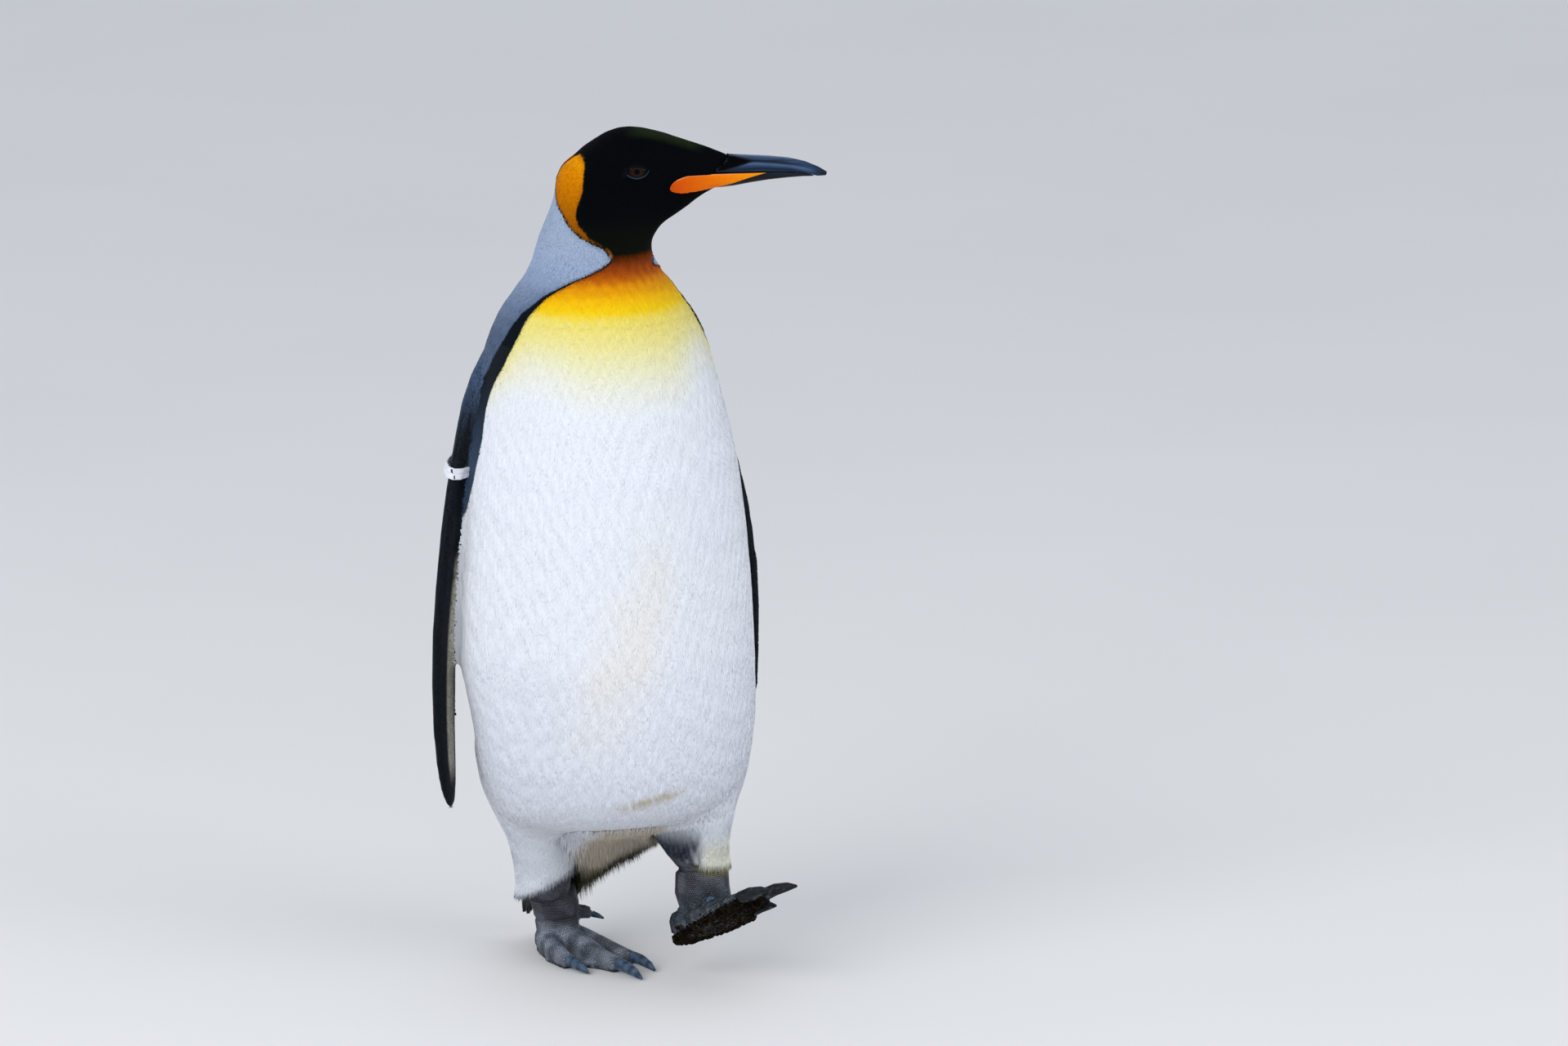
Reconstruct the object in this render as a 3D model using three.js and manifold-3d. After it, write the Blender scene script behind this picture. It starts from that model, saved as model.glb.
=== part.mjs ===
// King penguin in mid-stride, life size, as a museum shows a still model.
// Millimetres, +Z up. The body faces -Y and its left side is +X. The origin is on the floor, on the
// sole of the planted right foot, under the bird's centre of mass.
import * as THREE from "three";
import { mergeVertices } from "three/addons/utils/BufferGeometryUtils.js";
import Module from "manifold-3d";

const wasm = await Module();
wasm.setup();

// ---- driving dimensions -------------------------------------------------------------------------
const GAP = 0.3; // between pieces that meet
const NECK_Y = 27; // the neck stands this far behind the trunk's middle
const HEAD_TURN = 70; // degrees, the head is turned to the bird's left
const HEAD_FROM = 629; // height of the cut between neck and head
const NECK_FROM = 572; // height of the cut between trunk and neck
const BILL_TIP = 199; // from the neck's axis to the tip of the bill
const MOUTH_Z = 692.6; // height of the line where the two halves of the bill meet
const EYE_RADIUS = 14;
const EYE_REACH = 35.5; // from the neck's axis, along the head
const EYE_Z = 697;
const EYE_OUT = 14.6; // from the head's middle plane to the eyeball's centre
const PLATE_THICK = 1.1;
const BAND_Z = 444; // the identity band on the right flipper, at its leading edge
const BAND_HIGH = 9;
const BAND_WALL = 2;
const BAND_LOOSE = 1.6; // between the band and the flipper
const BAND_TILT = 12; // degrees, its back edge higher
const ANKLE = { right: [-25, 60], left: [58, -56] }; // the tarsus over the floor
const RAISED_BY = 35; // the raised foot's sole under its ankle
const TOES_TURN = { right: 18, left: 39 }; // degrees, both feet point to the bird's left
const RAISED_PITCH = 30; // degrees, toes up
const RAISED_ROLL = 18; // degrees, inner edge up

// ---- solids -------------------------------------------------------------------------------------
const rad = THREE.MathUtils.degToRad;
const vec = (x, y, z) => new THREE.Vector3(x, y, z);
const UP = vec(0, 0, 1);
const FORWARD = vec(0, -1, 0);
const heading = (turn) => vec(Math.sin(rad(turn)), -Math.cos(rad(turn)), 0);

function solid(geometry) {
  geometry.deleteAttribute("normal");
  geometry.deleteAttribute("uv");
  const merged = mergeVertices(geometry, 1e-3);
  return new wasm.Manifold(new wasm.Mesh({
    numProp: 3,
    vertProperties: new Float32Array(merged.attributes.position.array),
    triVerts: new Uint32Array(merged.index.array),
  }));
}

function geometryOf(body) {
  const mesh = body.getMesh();
  const geometry = new THREE.BufferGeometry();
  geometry.setAttribute("position", new THREE.BufferAttribute(new Float32Array(mesh.vertProperties), 3));
  geometry.setIndex(new THREE.BufferAttribute(new Uint32Array(mesh.triVerts), 1));
  return geometry;
}

function block(x0, x1, y0, y1, z0, z1) {
  const box = new THREE.BoxGeometry(x1 - x0, y1 - y0, z1 - z0);
  return solid(box.translate((x0 + x1) / 2, (y0 + y1) / 2, (z0 + z1) / 2));
}

// One egg-shaped section: front and back of its centre along `ahead`, `side` each way across, and
// narrower at the front by `taper`.
function section({ centre, ahead, across, front, back, side, taper = 0 }, count) {
  const ring = [];
  for (let i = 0; i < count; i += 1) {
    const angle = (2 * Math.PI * i) / count;
    const along = Math.cos(angle) * (Math.cos(angle) > 0 ? front : back);
    const out = side * Math.sin(angle) * (1 - taper * Math.cos(angle));
    ring.push(centre.clone().addScaledVector(ahead, along).addScaledVector(across, out));
  }
  return ring;
}

// A closed skin over sections, drawn to a point at both ends.
function loft(sections, count, start, end) {
  const points = [start, ...sections.flatMap((each) => section(each, count)), end];
  const faces = [];
  const last = points.length - 1;
  const at = (row, i) => 1 + row * count + (i % count);
  for (let i = 0; i < count; i += 1) {
    faces.push(0, at(0, i + 1), at(0, i));
    for (let row = 0; row + 1 < sections.length; row += 1) {
      faces.push(at(row, i), at(row, i + 1), at(row + 1, i + 1));
      faces.push(at(row, i), at(row + 1, i + 1), at(row + 1, i));
    }
    faces.push(last, at(sections.length - 1, i), at(sections.length - 1, i + 1));
  }
  const geometry = new THREE.BufferGeometry().setFromPoints(points);
  geometry.setIndex(volume(points, faces) < 0 ? faces.reverse() : faces);
  return geometry;
}

function volume(points, faces) {
  let six = 0;
  for (let i = 0; i < faces.length; i += 3) {
    const [a, b, c] = [points[faces[i]], points[faces[i + 1]], points[faces[i + 2]]];
    six += a.dot(b.clone().cross(c));
  }
  return six / 6;
}

// Smooth values between the rows of a table whose first column is the place along the shape.
function smooth(rows) {
  const places = Float32Array.from(rows, (row) => row[0]);
  const values = Float32Array.from(rows.flatMap((row) => row.slice(1)));
  const curve = new THREE.CubicInterpolant(places, values, rows[0].length - 1);
  return (place) => Array.from(curve.evaluate(place));
}

// A limb along a curve through its stations, each [x, y, z, front, side, taper]: `front` is the half
// size along `ahead`, and `side` the half size across it.
function limb(stations, { steps, count, ahead, grow = 0, matrix }) {
  const sizes = smooth(stations.map((station, i) => [i, ...station]));
  const middle = (place) => vec(...sizes(place).slice(0, 3));
  const last = stations.length - 1;
  const sections = [];
  for (let i = 0; i <= steps; i += 1) {
    const place = (last * i) / steps;
    const [x, y, z, front, side, taper] = sizes(place);
    const before = middle(Math.max(place - 0.05, 0));
    const run = middle(Math.min(place + 0.05, last)).sub(before).normalize();
    const across = run.clone().cross(ahead).normalize();
    sections.push({
      centre: vec(x, y, z), across, ahead: across.clone().cross(run), taper,
      front: front + grow, back: front + grow, side: side + grow,
    });
  }
  const runOut = (from, to) => sections[from].centre.clone().sub(sections[to].centre).normalize();
  const start = sections[0].centre.clone().addScaledVector(runOut(0, 1), 0.4 * sections[0].side);
  const end = sections[steps].centre.clone();
  end.addScaledVector(runOut(steps, steps - 1), 0.4 * sections[steps].side);
  const geometry = loft(sections, count, start, end);
  return solid(matrix ? geometry.applyMatrix4(matrix) : geometry);
}

// ---- head, neck and trunk: one smooth shape in level sections -----------------------------------
// height, lean to the left, axis Y, reach along the heading, front, back, side, turn, taper
const BODY = smooth([
  [88, -4, 64, 0, 14, 20, 22, 0, 0],
  [98, -3, 58, 0, 30, 34, 40, 0, 0],
  [112, 0, 44, 0, 40, 54, 60, 0, 0],
  [126, 3, 22, 0, 46, 78, 80, 0, 0],
  [136, 7, 8, 0, 64, 90, 97, 0, 0],
  [146, 8, 0, 0, 88, 98, 107, 0, 0],
  [162, 7, 0, 0, 107, 100, 113, 0, 0],
  [184, 6, 0, 0, 116, 101, 119, 0, 0],
  [228, 5, 0, 0, 121, 102, 125.5, 0, 0],
  [278, 0, 1, 0, 123, 102, 130, 0, 0],
  [336, 0, 3, 0, 121, 102, 128, 0, 0],
  [393, 0, 4, 0, 117, 101, 123.5, 0, 0],
  [443, 0, 7, 0, 111, 98, 118, 0, 0],
  [482, 0, 11, 0, 105, 94, 111.5, 0, 0],
  [517, 0, 16, 0, 97, 88, 103.5, 0, 0],
  [549, 0, 22, 0, 88, 83, 97, 0, 0],
  [569, 0, 25, 0, 80, 76, 88, 2, 0],
  [581, 0, NECK_Y, 0, 72, 70, 79.5, 6, 0],
  [595, 0, NECK_Y, 0, 64, 62, 70, 14, 0],
  [608, 0, NECK_Y, 0, 57, 57, 60, 28, 0],
  [621, 0, NECK_Y, 0, 51, 53, 50.5, 46, 0],
  [634, 0, NECK_Y, 0, 50, 49, 44, 60, 0.04],
  [646, 0, NECK_Y, 0, 56, 44, 38.5, 68, 0.12],
  [660, 0, NECK_Y, 2, 75, 40, 33.5, HEAD_TURN, 0.26],
  [672, 0, NECK_Y, 3, 90, 37, 31.5, HEAD_TURN, 0.35],
  [681, 0, NECK_Y, 3, 105, 36, 31, HEAD_TURN, 0.42],
  [691, 0, NECK_Y, 5, 116, 36, 31, HEAD_TURN, 0.46],
  [700, 0, NECK_Y, 9, 112, 35, 30.5, HEAD_TURN, 0.44],
  [708, 0, NECK_Y, 15, 98, 30, 29, HEAD_TURN, 0.38],
  [714, 0, NECK_Y, 20, 77, 29, 27, HEAD_TURN, 0.3],
  [720, 0, NECK_Y, 25, 53, 25, 23.5, HEAD_TURN, 0.18],
  [726, 0, NECK_Y, 29, 31, 20, 17, HEAD_TURN, 0.05],
  [730, 0, NECK_Y, 30, 14, 11, 9, HEAD_TURN, 0],
]);
const BODY_HEIGHTS = [
  88, 94, 102, 112, 120, 127, 133, 139, 146, 154, 166, 190, 228, 278, 336, 393, 443, 485, 520, 547, 566, 582,
  597, 611, 624, 636, 648, 660, 671, 681, 690, 699, 707, 714, 720, 726, 730,
];
const BODY_SIDES = 28;
const HEAD_AHEAD = heading(HEAD_TURN);
const HEAD_ACROSS = vec(-HEAD_AHEAD.y, HEAD_AHEAD.x, 0);

// A point of the head: along the bill from the neck's axis, to the head's left, and up.
function onHead(reach, out, z) {
  return vec(0, NECK_Y, z).addScaledVector(HEAD_AHEAD, reach).addScaledVector(HEAD_ACROSS, out);
}

function body(grow = 0) {
  const sections = BODY_HEIGHTS.map((z) => {
    const [x, y, reach, front, back, side, turn, taper] = BODY(z);
    const ahead = heading(turn);
    return {
      centre: vec(x, y, z).addScaledVector(ahead, reach), ahead, across: vec(-ahead.y, ahead.x, 0),
      front: front + grow, back: back + grow, side: side + grow, taper,
    };
  });
  const crown = onHead(30, 0, 732 + grow);
  return solid(loft(sections, BODY_SIDES, vec(-4, 65, 84 - grow), crown));
}

const whole = body();
const wide = body(GAP);
const slab = (z0, z1) => block(-400, 400, -400, 400, z0, z1);

// ---- bill ---------------------------------------------------------------------------------------
// reach, middle height, half height, half width
const BILL = [
  [60, 690, 14, 15],
  [84, 691.5, 15.2, 13.4],
  [100, 692.8, 14.6, 11.2],
  [112, 693.1, 14.4, 9.6],
  [124, 693.9, 13.1, 8.2],
  [140, 695, 11.3, 6.8],
  [160, 695.4, 9.4, 5.6],
  [175, 694.5, 7.3, 4.6],
  [188, 692.2, 4.6, 3.2],
  [BILL_TIP - 2, 689.9, 1.9, 1.4],
];
function bill(grow = 0) {
  const stations = BILL.map(([reach, z, high, wideness]) => {
    const place = onHead(reach, 0, z);
    return [place.x, place.y, place.z, high, wideness, 0];
  });
  return limb(stations, { steps: 10, count: 14, ahead: UP, grow });
}
const beak = bill().subtract(wide);

// A prism of this outline in the head's own plane, from `from` outwards to 90 or 45 mm further left.
function headPrism(shape, from, depth = 90) {
  const prism = new THREE.ExtrudeGeometry(shape, { depth, bevelEnabled: false, curveSegments: 5 });
  prism.translate(0, 0, -depth - from);
  const basis = new THREE.Matrix4().makeBasis(HEAD_AHEAD, vec(0, 0, 1), HEAD_ACROSS.clone().negate());
  prism.applyMatrix4(basis).translate(0, NECK_Y, 0);
  return solid(prism);
}

// Where the halves meet, in the head's own plane: level, then down before the upper half's hooked tip.
const MOUTH = [[30, MOUTH_Z], [158, MOUTH_Z], [172, 691.9], [182, 690.4], [189, 687.6], [193, 682], [230, 660]];
function mouthSide(high, shift) {
  const line = MOUTH.map(([reach, z]) => new THREE.Vector2(reach + shift, z + shift));
  return headPrism(new THREE.Shape([...line, new THREE.Vector2(230, high), new THREE.Vector2(30, high)]), -45);
}
const billUpper = beak.intersect(mouthSide(800, GAP / 2));
const billLower = beak.intersect(mouthSide(600, -GAP / 2));

// The horny plate along each side of the lower half: a thin shell over head and bill, inside this
// outline in the head's own plane.
function plateOutline() {
  const shape = new THREE.Shape();
  shape.moveTo(64, 681);
  shape.quadraticCurveTo(66, 689, 80, 691.6);
  shape.lineTo(148, MOUTH_Z - GAP);
  shape.quadraticCurveTo(132, 688, 118, 683);
  shape.quadraticCurveTo(98, 677, 78, 676);
  shape.quadraticCurveTo(64, 676, 64, 681);
  return shape;
}
function plate(side) {
  const prism = headPrism(plateOutline(), side === "right" ? -45 : 0, 45);
  const outer = body(GAP + PLATE_THICK).add(bill(GAP + PLATE_THICK));
  return outer.subtract(wide).subtract(bill(GAP)).intersect(prism);
}

// ---- eyes ---------------------------------------------------------------------------------------
function eye(side, grow = 0) {
  const ball = new THREE.SphereGeometry(EYE_RADIUS + grow, 12, 8);
  const place = onHead(EYE_REACH, side === "right" ? -EYE_OUT : EYE_OUT, EYE_Z);
  return solid(ball.translate(place.x, place.y, place.z));
}

// ---- legs ---------------------------------------------------------------------------------------
// The feathered part of each leg, from inside the trunk down to its hem.
const THIGHS = {
  right: [
    [-56, 22, 205, 64, 58, 0],
    [-48, 38, 165, 56, 55, 0],
    [-42, 46, 133, 47, 45.5, 0],
    [-40, 50, 104, 37, 34, 0],
    [-40, 53, 78, 30, 27.5, 0],
    [-39, 56, 60, 27, 25.5, 0],
    [-38, 57, 52, 23, 22, 0],
  ],
  left: [
    [54, -8, 215, 62, 56, 0],
    [58, -24, 175, 54, 56, 0],
    [61, -38, 142, 44, 45, 0],
    [63, -47, 118, 34, 32, 0],
    [66, -51, 103, 28, 26.5, 0],
    [66, -53, 95, 24, 23, 0],
  ],
};
const thigh = (side, grow = 0) => limb(THIGHS[side], { steps: 6, count: 16, ahead: FORWARD, grow });

// The bare, scaly shank.
const SHANKS = {
  right: [
    [-38, 57, 84, 19, 21, 0],
    [-33, 58, 62, 19.5, 21, 0],
    [-27, 60, 42, 19, 20.5, 0],
    [-25, 59, 14, 18, 18, 0],
  ],
  left: [
    [66, -52, 122, 19, 21, 0],
    [66, -53, 98, 20, 23, 0],
    [65, -56, 78, 22, 24, 0],
    [69, -62, 54, 20, 22, 0],
  ],
};
const shank = (side, grow = 0) => limb(SHANKS[side], { steps: 3, count: 14, ahead: FORWARD, grow });

// A foot in its own frame: toes towards -Y, the big toe's side towards +X on a right foot, the sole
// at z = 0, and the ankle over the origin. Each toe is [x, y, z, half height, half width].
const TOES = {
  outer: [[-9, 6, 13, 13, 11, 0], [-19, -18, 9.5, 11, 9.5, 0], [-24, -36, 7, 8.5, 8, 0], [-25, -48, 5.5, 6.5, 6.8, 0]],
  middle: [[0, 6, 16, 16, 12, 0], [0, -25, 12, 13, 10.5, 0], [0, -56, 8, 9.5, 8.5, 0], [1, -83, 5.5, 7, 6.8, 0]],
  inner: [[9, 6, 13, 13, 11, 0], [17, -22, 10, 11, 9, 0], [22, -48, 7, 8, 7.5, 0], [24, -73, 5.5, 6.5, 6.3, 0]],
};
const CLAWS = {
  outer: [[-25, -43, 7, 5.5, 5, 0], [-25.5, -58, 7, 4.9, 4.4, 0], [-25, -68, 4.6, 3.5, 3.1, 0], [-24.5, -74, 2.1, 1.2, 1.2, 0]],
  middle: [[1, -78, 7.4, 6.2, 5.6, 0], [1, -95, 7.4, 5.5, 5, 0], [0.5, -108, 5, 4, 3.5, 0], [0, -117, 2.2, 1.3, 1.3, 0]],
  inner: [[24, -68, 7.1, 5.7, 5.2, 0], [24.5, -85, 7.1, 5, 4.5, 0], [24.5, -97, 4.8, 3.6, 3.2, 0], [24, -105, 2.1, 1.2, 1.2, 0]],
};
const HALLUX = {
  right: [[12, -2, 34, 7, 7, 0], [20, -8, 34, 6.5, 6.5, 0], [26, -13, 32.5, 5, 5, 0]],
  left: [[-10, -30, 14, 7, 7, 0], [-17, -35, 17, 6.5, 6.5, 0], [-22, -40, 18, 5, 5, 0]],
};
const HALLUX_CLAW = {
  right: [[23, -10, 33, 3.4, 3.2, 0], [29, -16, 31, 2.8, 2.6, 0], [34, -21, 28, 1, 1, 0]],
  left: [[-19, -37, 17.5, 3.4, 3.2, 0], [-25, -44, 17.5, 2.8, 2.6, 0], [-28, -50, 15.5, 1, 1, 0]],
};
// The web and the heel pad: a flat plate under the toes, mirrored by `hand` = -1.
function soleOutline(hand) {
  const shape = new THREE.Shape();
  shape.moveTo(-15 * hand, 12);
  shape.quadraticCurveTo(0, 25, 15 * hand, 12);
  shape.lineTo(26 * hand, -28);
  shape.lineTo(29 * hand, -69);
  shape.quadraticCurveTo(11 * hand, -60, 5 * hand, -80);
  shape.lineTo(-4 * hand, -80);
  shape.quadraticCurveTo(-12 * hand, -42, -30 * hand, -47);
  shape.lineTo(-28 * hand, -20);
  shape.closePath();
  return shape;
}

function footPlace(side) {
  const [x, y] = ANKLE[side];
  const raised = side === "left";
  const turn = new THREE.Euler(
    raised ? rad(-RAISED_PITCH) : 0, raised ? rad(RAISED_ROLL) : 0, rad(TOES_TURN[side]), "ZXY");
  const matrix = new THREE.Matrix4().makeRotationFromEuler(turn);
  return matrix.setPosition(x, y, raised ? RAISED_BY : 0);
}

// A toe or claw, placed with its foot.
function toeLimb(stations, side, options) {
  return limb(stations, { ...options, ahead: UP, matrix: footPlace(side) });
}

// The same table for either foot: a left foot is a right one mirrored.
function handed(stations, side) {
  const hand = side === "left" ? -1 : 1;
  return stations.map(([x, ...rest]) => [hand * x, ...rest]);
}

function foot(side, grow = 0) {
  const outline = soleOutline(side === "left" ? -1 : 1);
  const sole = new THREE.ExtrudeGeometry(outline, { depth: 5 + grow, bevelEnabled: false, curveSegments: 5 });
  let made = solid(sole.applyMatrix4(footPlace(side)));
  for (const toe of Object.values(TOES)) {
    made = made.add(toeLimb(handed(toe, side), side, { steps: 4, count: 10, grow }));
  }
  return made.intersect(aboveSole(side));
}

// Everything over the plane of the sole.
function aboveSole(side) {
  const box = new THREE.BoxGeometry(400, 400, 200).translate(0, 0, 100);
  return solid(box.applyMatrix4(footPlace(side)));
}

// ---- tail ---------------------------------------------------------------------------------------
// x, y, z, half width, half thickness, taper
const TAIL = [
  [-3, 62, 128, 44, 26, 0],
  [-6, 84, 98, 38, 20, 0],
  [-11, 100, 66, 32, 12, 0],
  [-15, 112, 36, 29, 6.5, 0],
  [-18, 119, 14, 26, 3.4, 0],
  [-18, 121, 7, 16, 2, 0],
];
const tail = limb(TAIL, { steps: 6, count: 14, ahead: vec(1, 0, 0) }).subtract(wide);

// ---- flippers -----------------------------------------------------------------------------------
// Height, leading edge X (outwards), leading edge Y, chord, half thickness. The chord runs back and
// inwards from the leading edge.
const FLIPPER_TAPER = -0.35; // thicker towards the leading edge
const FLIPPER_CHORD = 35; // degrees off straight back
const FLIPPER_REST = { right: { back: 0, tuck: 0, high: 0 }, left: { back: 9, tuck: 11, high: 1 } }; // the left lies closer
const HIGH_BACK = 6; // and its upper part further back
const HIGH_IN = 2.5;
const SHOULDER_Z = 548;
const FLIPPER_DROP = 400;
const FLIPPER = [
  [548, 86, 22, 38, 13],
  [528, 101, 22, 45, 12],
  [505, 114, 20, 50, 10.5],
  [472, 124, 18, 54, 9],
  [441, 132, 15, 56, 8],
  [405, 140, 12, 61, 7.2],
  [349, 148, 9, 65, 6.6],
  [291, 153, 8, 66, 6.2],
  [234, 153, 9, 62, 5.6],
  [192, 149, 13, 54, 4.8],
  [168, 143, 20, 42, 4.2],
  [154, 136, 29, 27, 3.4],
  [147, 130, 38, 12, 2.4],
];
function flipper(side, grow = 0) {
  const sign = side === "right" ? -1 : 1;
  const { back, tuck, high } = FLIPPER_REST[side];
  const chordLine = vec(-sign * Math.sin(rad(FLIPPER_CHORD)), Math.cos(rad(FLIPPER_CHORD)), 0);
  const stations = FLIPPER.map(([z, x, y, chord, thick]) => {
    const upper = high * Math.min(Math.max((z - 380) / 60, 0), 1);
    const inwards = tuck * ((SHOULDER_Z - z) / FLIPPER_DROP) ** 2 + HIGH_IN * upper;
    const middle = vec(sign * (x - inwards), y + back + HIGH_BACK * upper, z).addScaledVector(chordLine, chord / 2);
    return [middle.x, middle.y, z, chord / 2, thick, FLIPPER_TAPER];
  });
  return limb(stations, { steps: 16, count: 12, ahead: chordLine.negate(), grow });
}

// The band is loose, and hangs by its back edge.
function band() {
  const ring = flipper("right", BAND_LOOSE + BAND_WALL).subtract(flipper("right", BAND_LOOSE));
  const level = new THREE.BoxGeometry(300, 300, BAND_HIGH).rotateX(rad(BAND_TILT)).translate(-132, 15, BAND_Z);
  return ring.subtract(wide).intersect(solid(level));
}

// ---- the bird -----------------------------------------------------------------------------------
const HORN = 0x15181d;
const CLAW_HORN = 0x2e3944;
const SKIN = 0x2a2d31;
const penguin = new THREE.Group();
function add(name, made, color, roughness) {
  const material = new THREE.MeshStandardMaterial({ color, roughness, metalness: 0 });
  const mesh = new THREE.Mesh(geometryOf(made), material);
  mesh.name = name;
  penguin.add(mesh);
}

const head = whole.intersect(slab(HEAD_FROM + GAP / 2, 900));
add("head", head.subtract(eye("right", GAP)).subtract(eye("left", GAP)), 0x0b0d10, 0.8);
add("neck", whole.intersect(slab(NECK_FROM + GAP / 2, HEAD_FROM - GAP / 2)), 0xe8890c, 0.85);
add("trunk", whole.intersect(slab(0, NECK_FROM - GAP / 2)), 0xf2f1ee, 0.85);
add("bill_upper", billUpper, HORN, 0.3);
add("bill_lower", billLower, HORN, 0.3);
add("tail", tail.subtract(thigh("right", GAP)), 0x1b1e22, 0.8);
add("flipper_band", band(), 0xf4f4f2, 0.4);

for (const side of ["right", "left"]) {
  add(`eye_${side}`, eye(side), 0x1c120a, 0.1);
  add(`bill_plate_${side}`, plate(side), 0xf07a12, 0.35);
  add(`flipper_${side}`, flipper(side).subtract(wide), 0x20262e, 0.7);
  add(`thigh_${side}`, thigh(side).subtract(wide), 0xf0efec, 0.85);
  const wideFoot = foot(side, GAP);
  const bareShank = shank(side).subtract(thigh(side, GAP)).subtract(wide).subtract(wideFoot);
  add(`shank_${side}`, bareShank, SKIN, 0.75);
  add(`foot_${side}`, foot(side), SKIN, 0.7);

  const small = { steps: 3, count: 8 };
  const hallux = toeLimb(HALLUX[side], side, small).subtract(shank(side, GAP)).subtract(wideFoot);
  add(`hallux_${side}`, hallux, SKIN, 0.7);
  const wideHallux = toeLimb(HALLUX[side], side, { ...small, grow: GAP });
  const spur = toeLimb(HALLUX_CLAW[side], side, small).subtract(wideHallux).subtract(shank(side, GAP));
  add(`claw_hallux_${side}`, spur.subtract(wideFoot), CLAW_HORN, 0.4);
  for (const [toe, stations] of Object.entries(CLAWS)) {
    const claw = toeLimb(handed(stations, side), side, { steps: 3, count: 8 });
    add(`claw_${toe}_${side}`, claw.subtract(wideFoot).intersect(aboveSole(side)), CLAW_HORN, 0.4);
  }
}

export default penguin;
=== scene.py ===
import bpy
import numpy as np
from mathutils import Matrix, Vector
from mathutils.bvhtree import BVHTree


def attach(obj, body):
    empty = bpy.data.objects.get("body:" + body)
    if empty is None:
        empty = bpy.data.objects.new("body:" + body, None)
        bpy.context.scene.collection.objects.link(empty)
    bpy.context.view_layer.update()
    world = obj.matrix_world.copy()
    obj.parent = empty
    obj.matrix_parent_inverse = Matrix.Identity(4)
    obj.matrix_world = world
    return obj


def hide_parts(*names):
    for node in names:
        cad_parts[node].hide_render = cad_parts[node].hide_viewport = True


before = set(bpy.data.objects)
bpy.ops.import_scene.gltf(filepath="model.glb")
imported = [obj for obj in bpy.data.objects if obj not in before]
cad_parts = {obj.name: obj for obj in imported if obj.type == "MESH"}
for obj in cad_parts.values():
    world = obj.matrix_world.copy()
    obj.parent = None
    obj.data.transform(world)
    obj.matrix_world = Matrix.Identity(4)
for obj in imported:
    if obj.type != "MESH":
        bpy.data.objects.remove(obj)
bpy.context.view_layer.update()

# --- Viewpoint -----------------------------------------------------------------------------------
# A long lens almost six metres off, above the bird's head and round to its right side. The lens is
# panned to the right of the bird, which leaves room in front of its bill.
VIEW_TURN = np.radians(-20)
VIEW_DOWN = np.radians(13.18)
VIEW_PAN = np.radians(1.495)
VIEW_FROM = (5.795, 1.75)  # level distance and height
to_bird = np.array([-np.sin(VIEW_TURN), np.cos(VIEW_TURN), 0])
aim_turn = VIEW_TURN - VIEW_PAN
level_aim = np.array([-np.sin(aim_turn), np.cos(aim_turn), 0])
aim = level_aim * np.cos(VIEW_DOWN) - np.array([0, 0, np.sin(VIEW_DOWN)])
lens_right = np.array([np.cos(aim_turn), np.sin(aim_turn), 0])
lens_up = np.cross(lens_right, aim)
bpy.ops.object.camera_add()
camera = bpy.context.object
camera.name = "camera"
camera.data.lens = 160.5
camera.data.sensor_width = 36
camera.data.dof.use_dof = False
place = Matrix(np.column_stack([lens_right, lens_up, -aim]).tolist()).to_4x4()
place.translation = Vector(-to_bird * VIEW_FROM[0]) + Vector((0, 0, VIEW_FROM[1]))
camera.matrix_world = place
bpy.context.scene.camera = camera


# --- Floor and light -----------------------------------------------------------------------------
# A pale matt floor, and the soft light of a studio: one wide lamp high on the bird's right, one dim
# one on its left, and a pale room round them.
def linear(code):
    """An sRGB hex colour as linear red, green and blue."""
    srgb = np.array([int(code[i:i + 2], 16) for i in (1, 3, 5)]) / 255
    return np.where(srgb <= 0.04045, srgb / 12.92, ((srgb + 0.055) / 1.055) ** 2.4)


def paint(code):
    """The same, as a socket takes it."""
    return (*linear(code), 1)


def node(tree, kind, inputs=(), **settings):
    """Adds a shader node with its settings, and sets or links its sockets."""
    made = tree.nodes.new("ShaderNode" + kind)
    for name, value in settings.items():
        setattr(made, name, value)
    for name, value in dict(inputs).items():
        if isinstance(value, bpy.types.NodeSocket):
            tree.links.new(value, made.inputs[name])
        else:
            made.inputs[name].default_value = value
    return made


def new_material(name, **sockets):
    """A material with a Principled shader, whose constant sockets are set here."""
    material = bpy.data.materials.new(name)
    material.use_nodes = True
    shader = material.node_tree.nodes["Principled BSDF"]
    for socket, value in sockets.items():
        shader.inputs[socket.replace("_", " ")].default_value = value
    return material, material.node_tree, shader


def deselect():
    bpy.ops.object.select_all(action="DESELECT")


deselect()
bpy.ops.mesh.primitive_plane_add(size=40, location=(0, 12, 0))
floor = bpy.context.object
floor.name = "floor"
# matt studio paper: pale, with the faint clouding of a surface that has been walked on
material, tree, shader = new_material("pale floor paper", Roughness=0.85)
where = node(tree, "TexCoord").outputs["Object"]
clouds = node(tree, "TexNoise", {"Vector": where, "Scale": 1.5, "Detail": 3.0})
tone = node(tree, "ValToRGB", {"Fac": clouds.outputs["Fac"]})
tone.color_ramp.elements[0].color = paint("#dfddda")
tone.color_ramp.elements[1].color = paint("#e6e4e1")
tree.links.new(tone.outputs["Color"], shader.inputs["Base Color"])
floor.data.materials.append(material)

room = bpy.data.worlds.new("pale room")
room.use_nodes = True
room.node_tree.nodes["Background"].inputs["Color"].default_value = paint("#e6edf8")
room.node_tree.nodes["Background"].inputs["Strength"].default_value = 0.86
bpy.context.scene.world = room
bpy.context.scene.view_settings.view_transform = "Standard"

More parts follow.
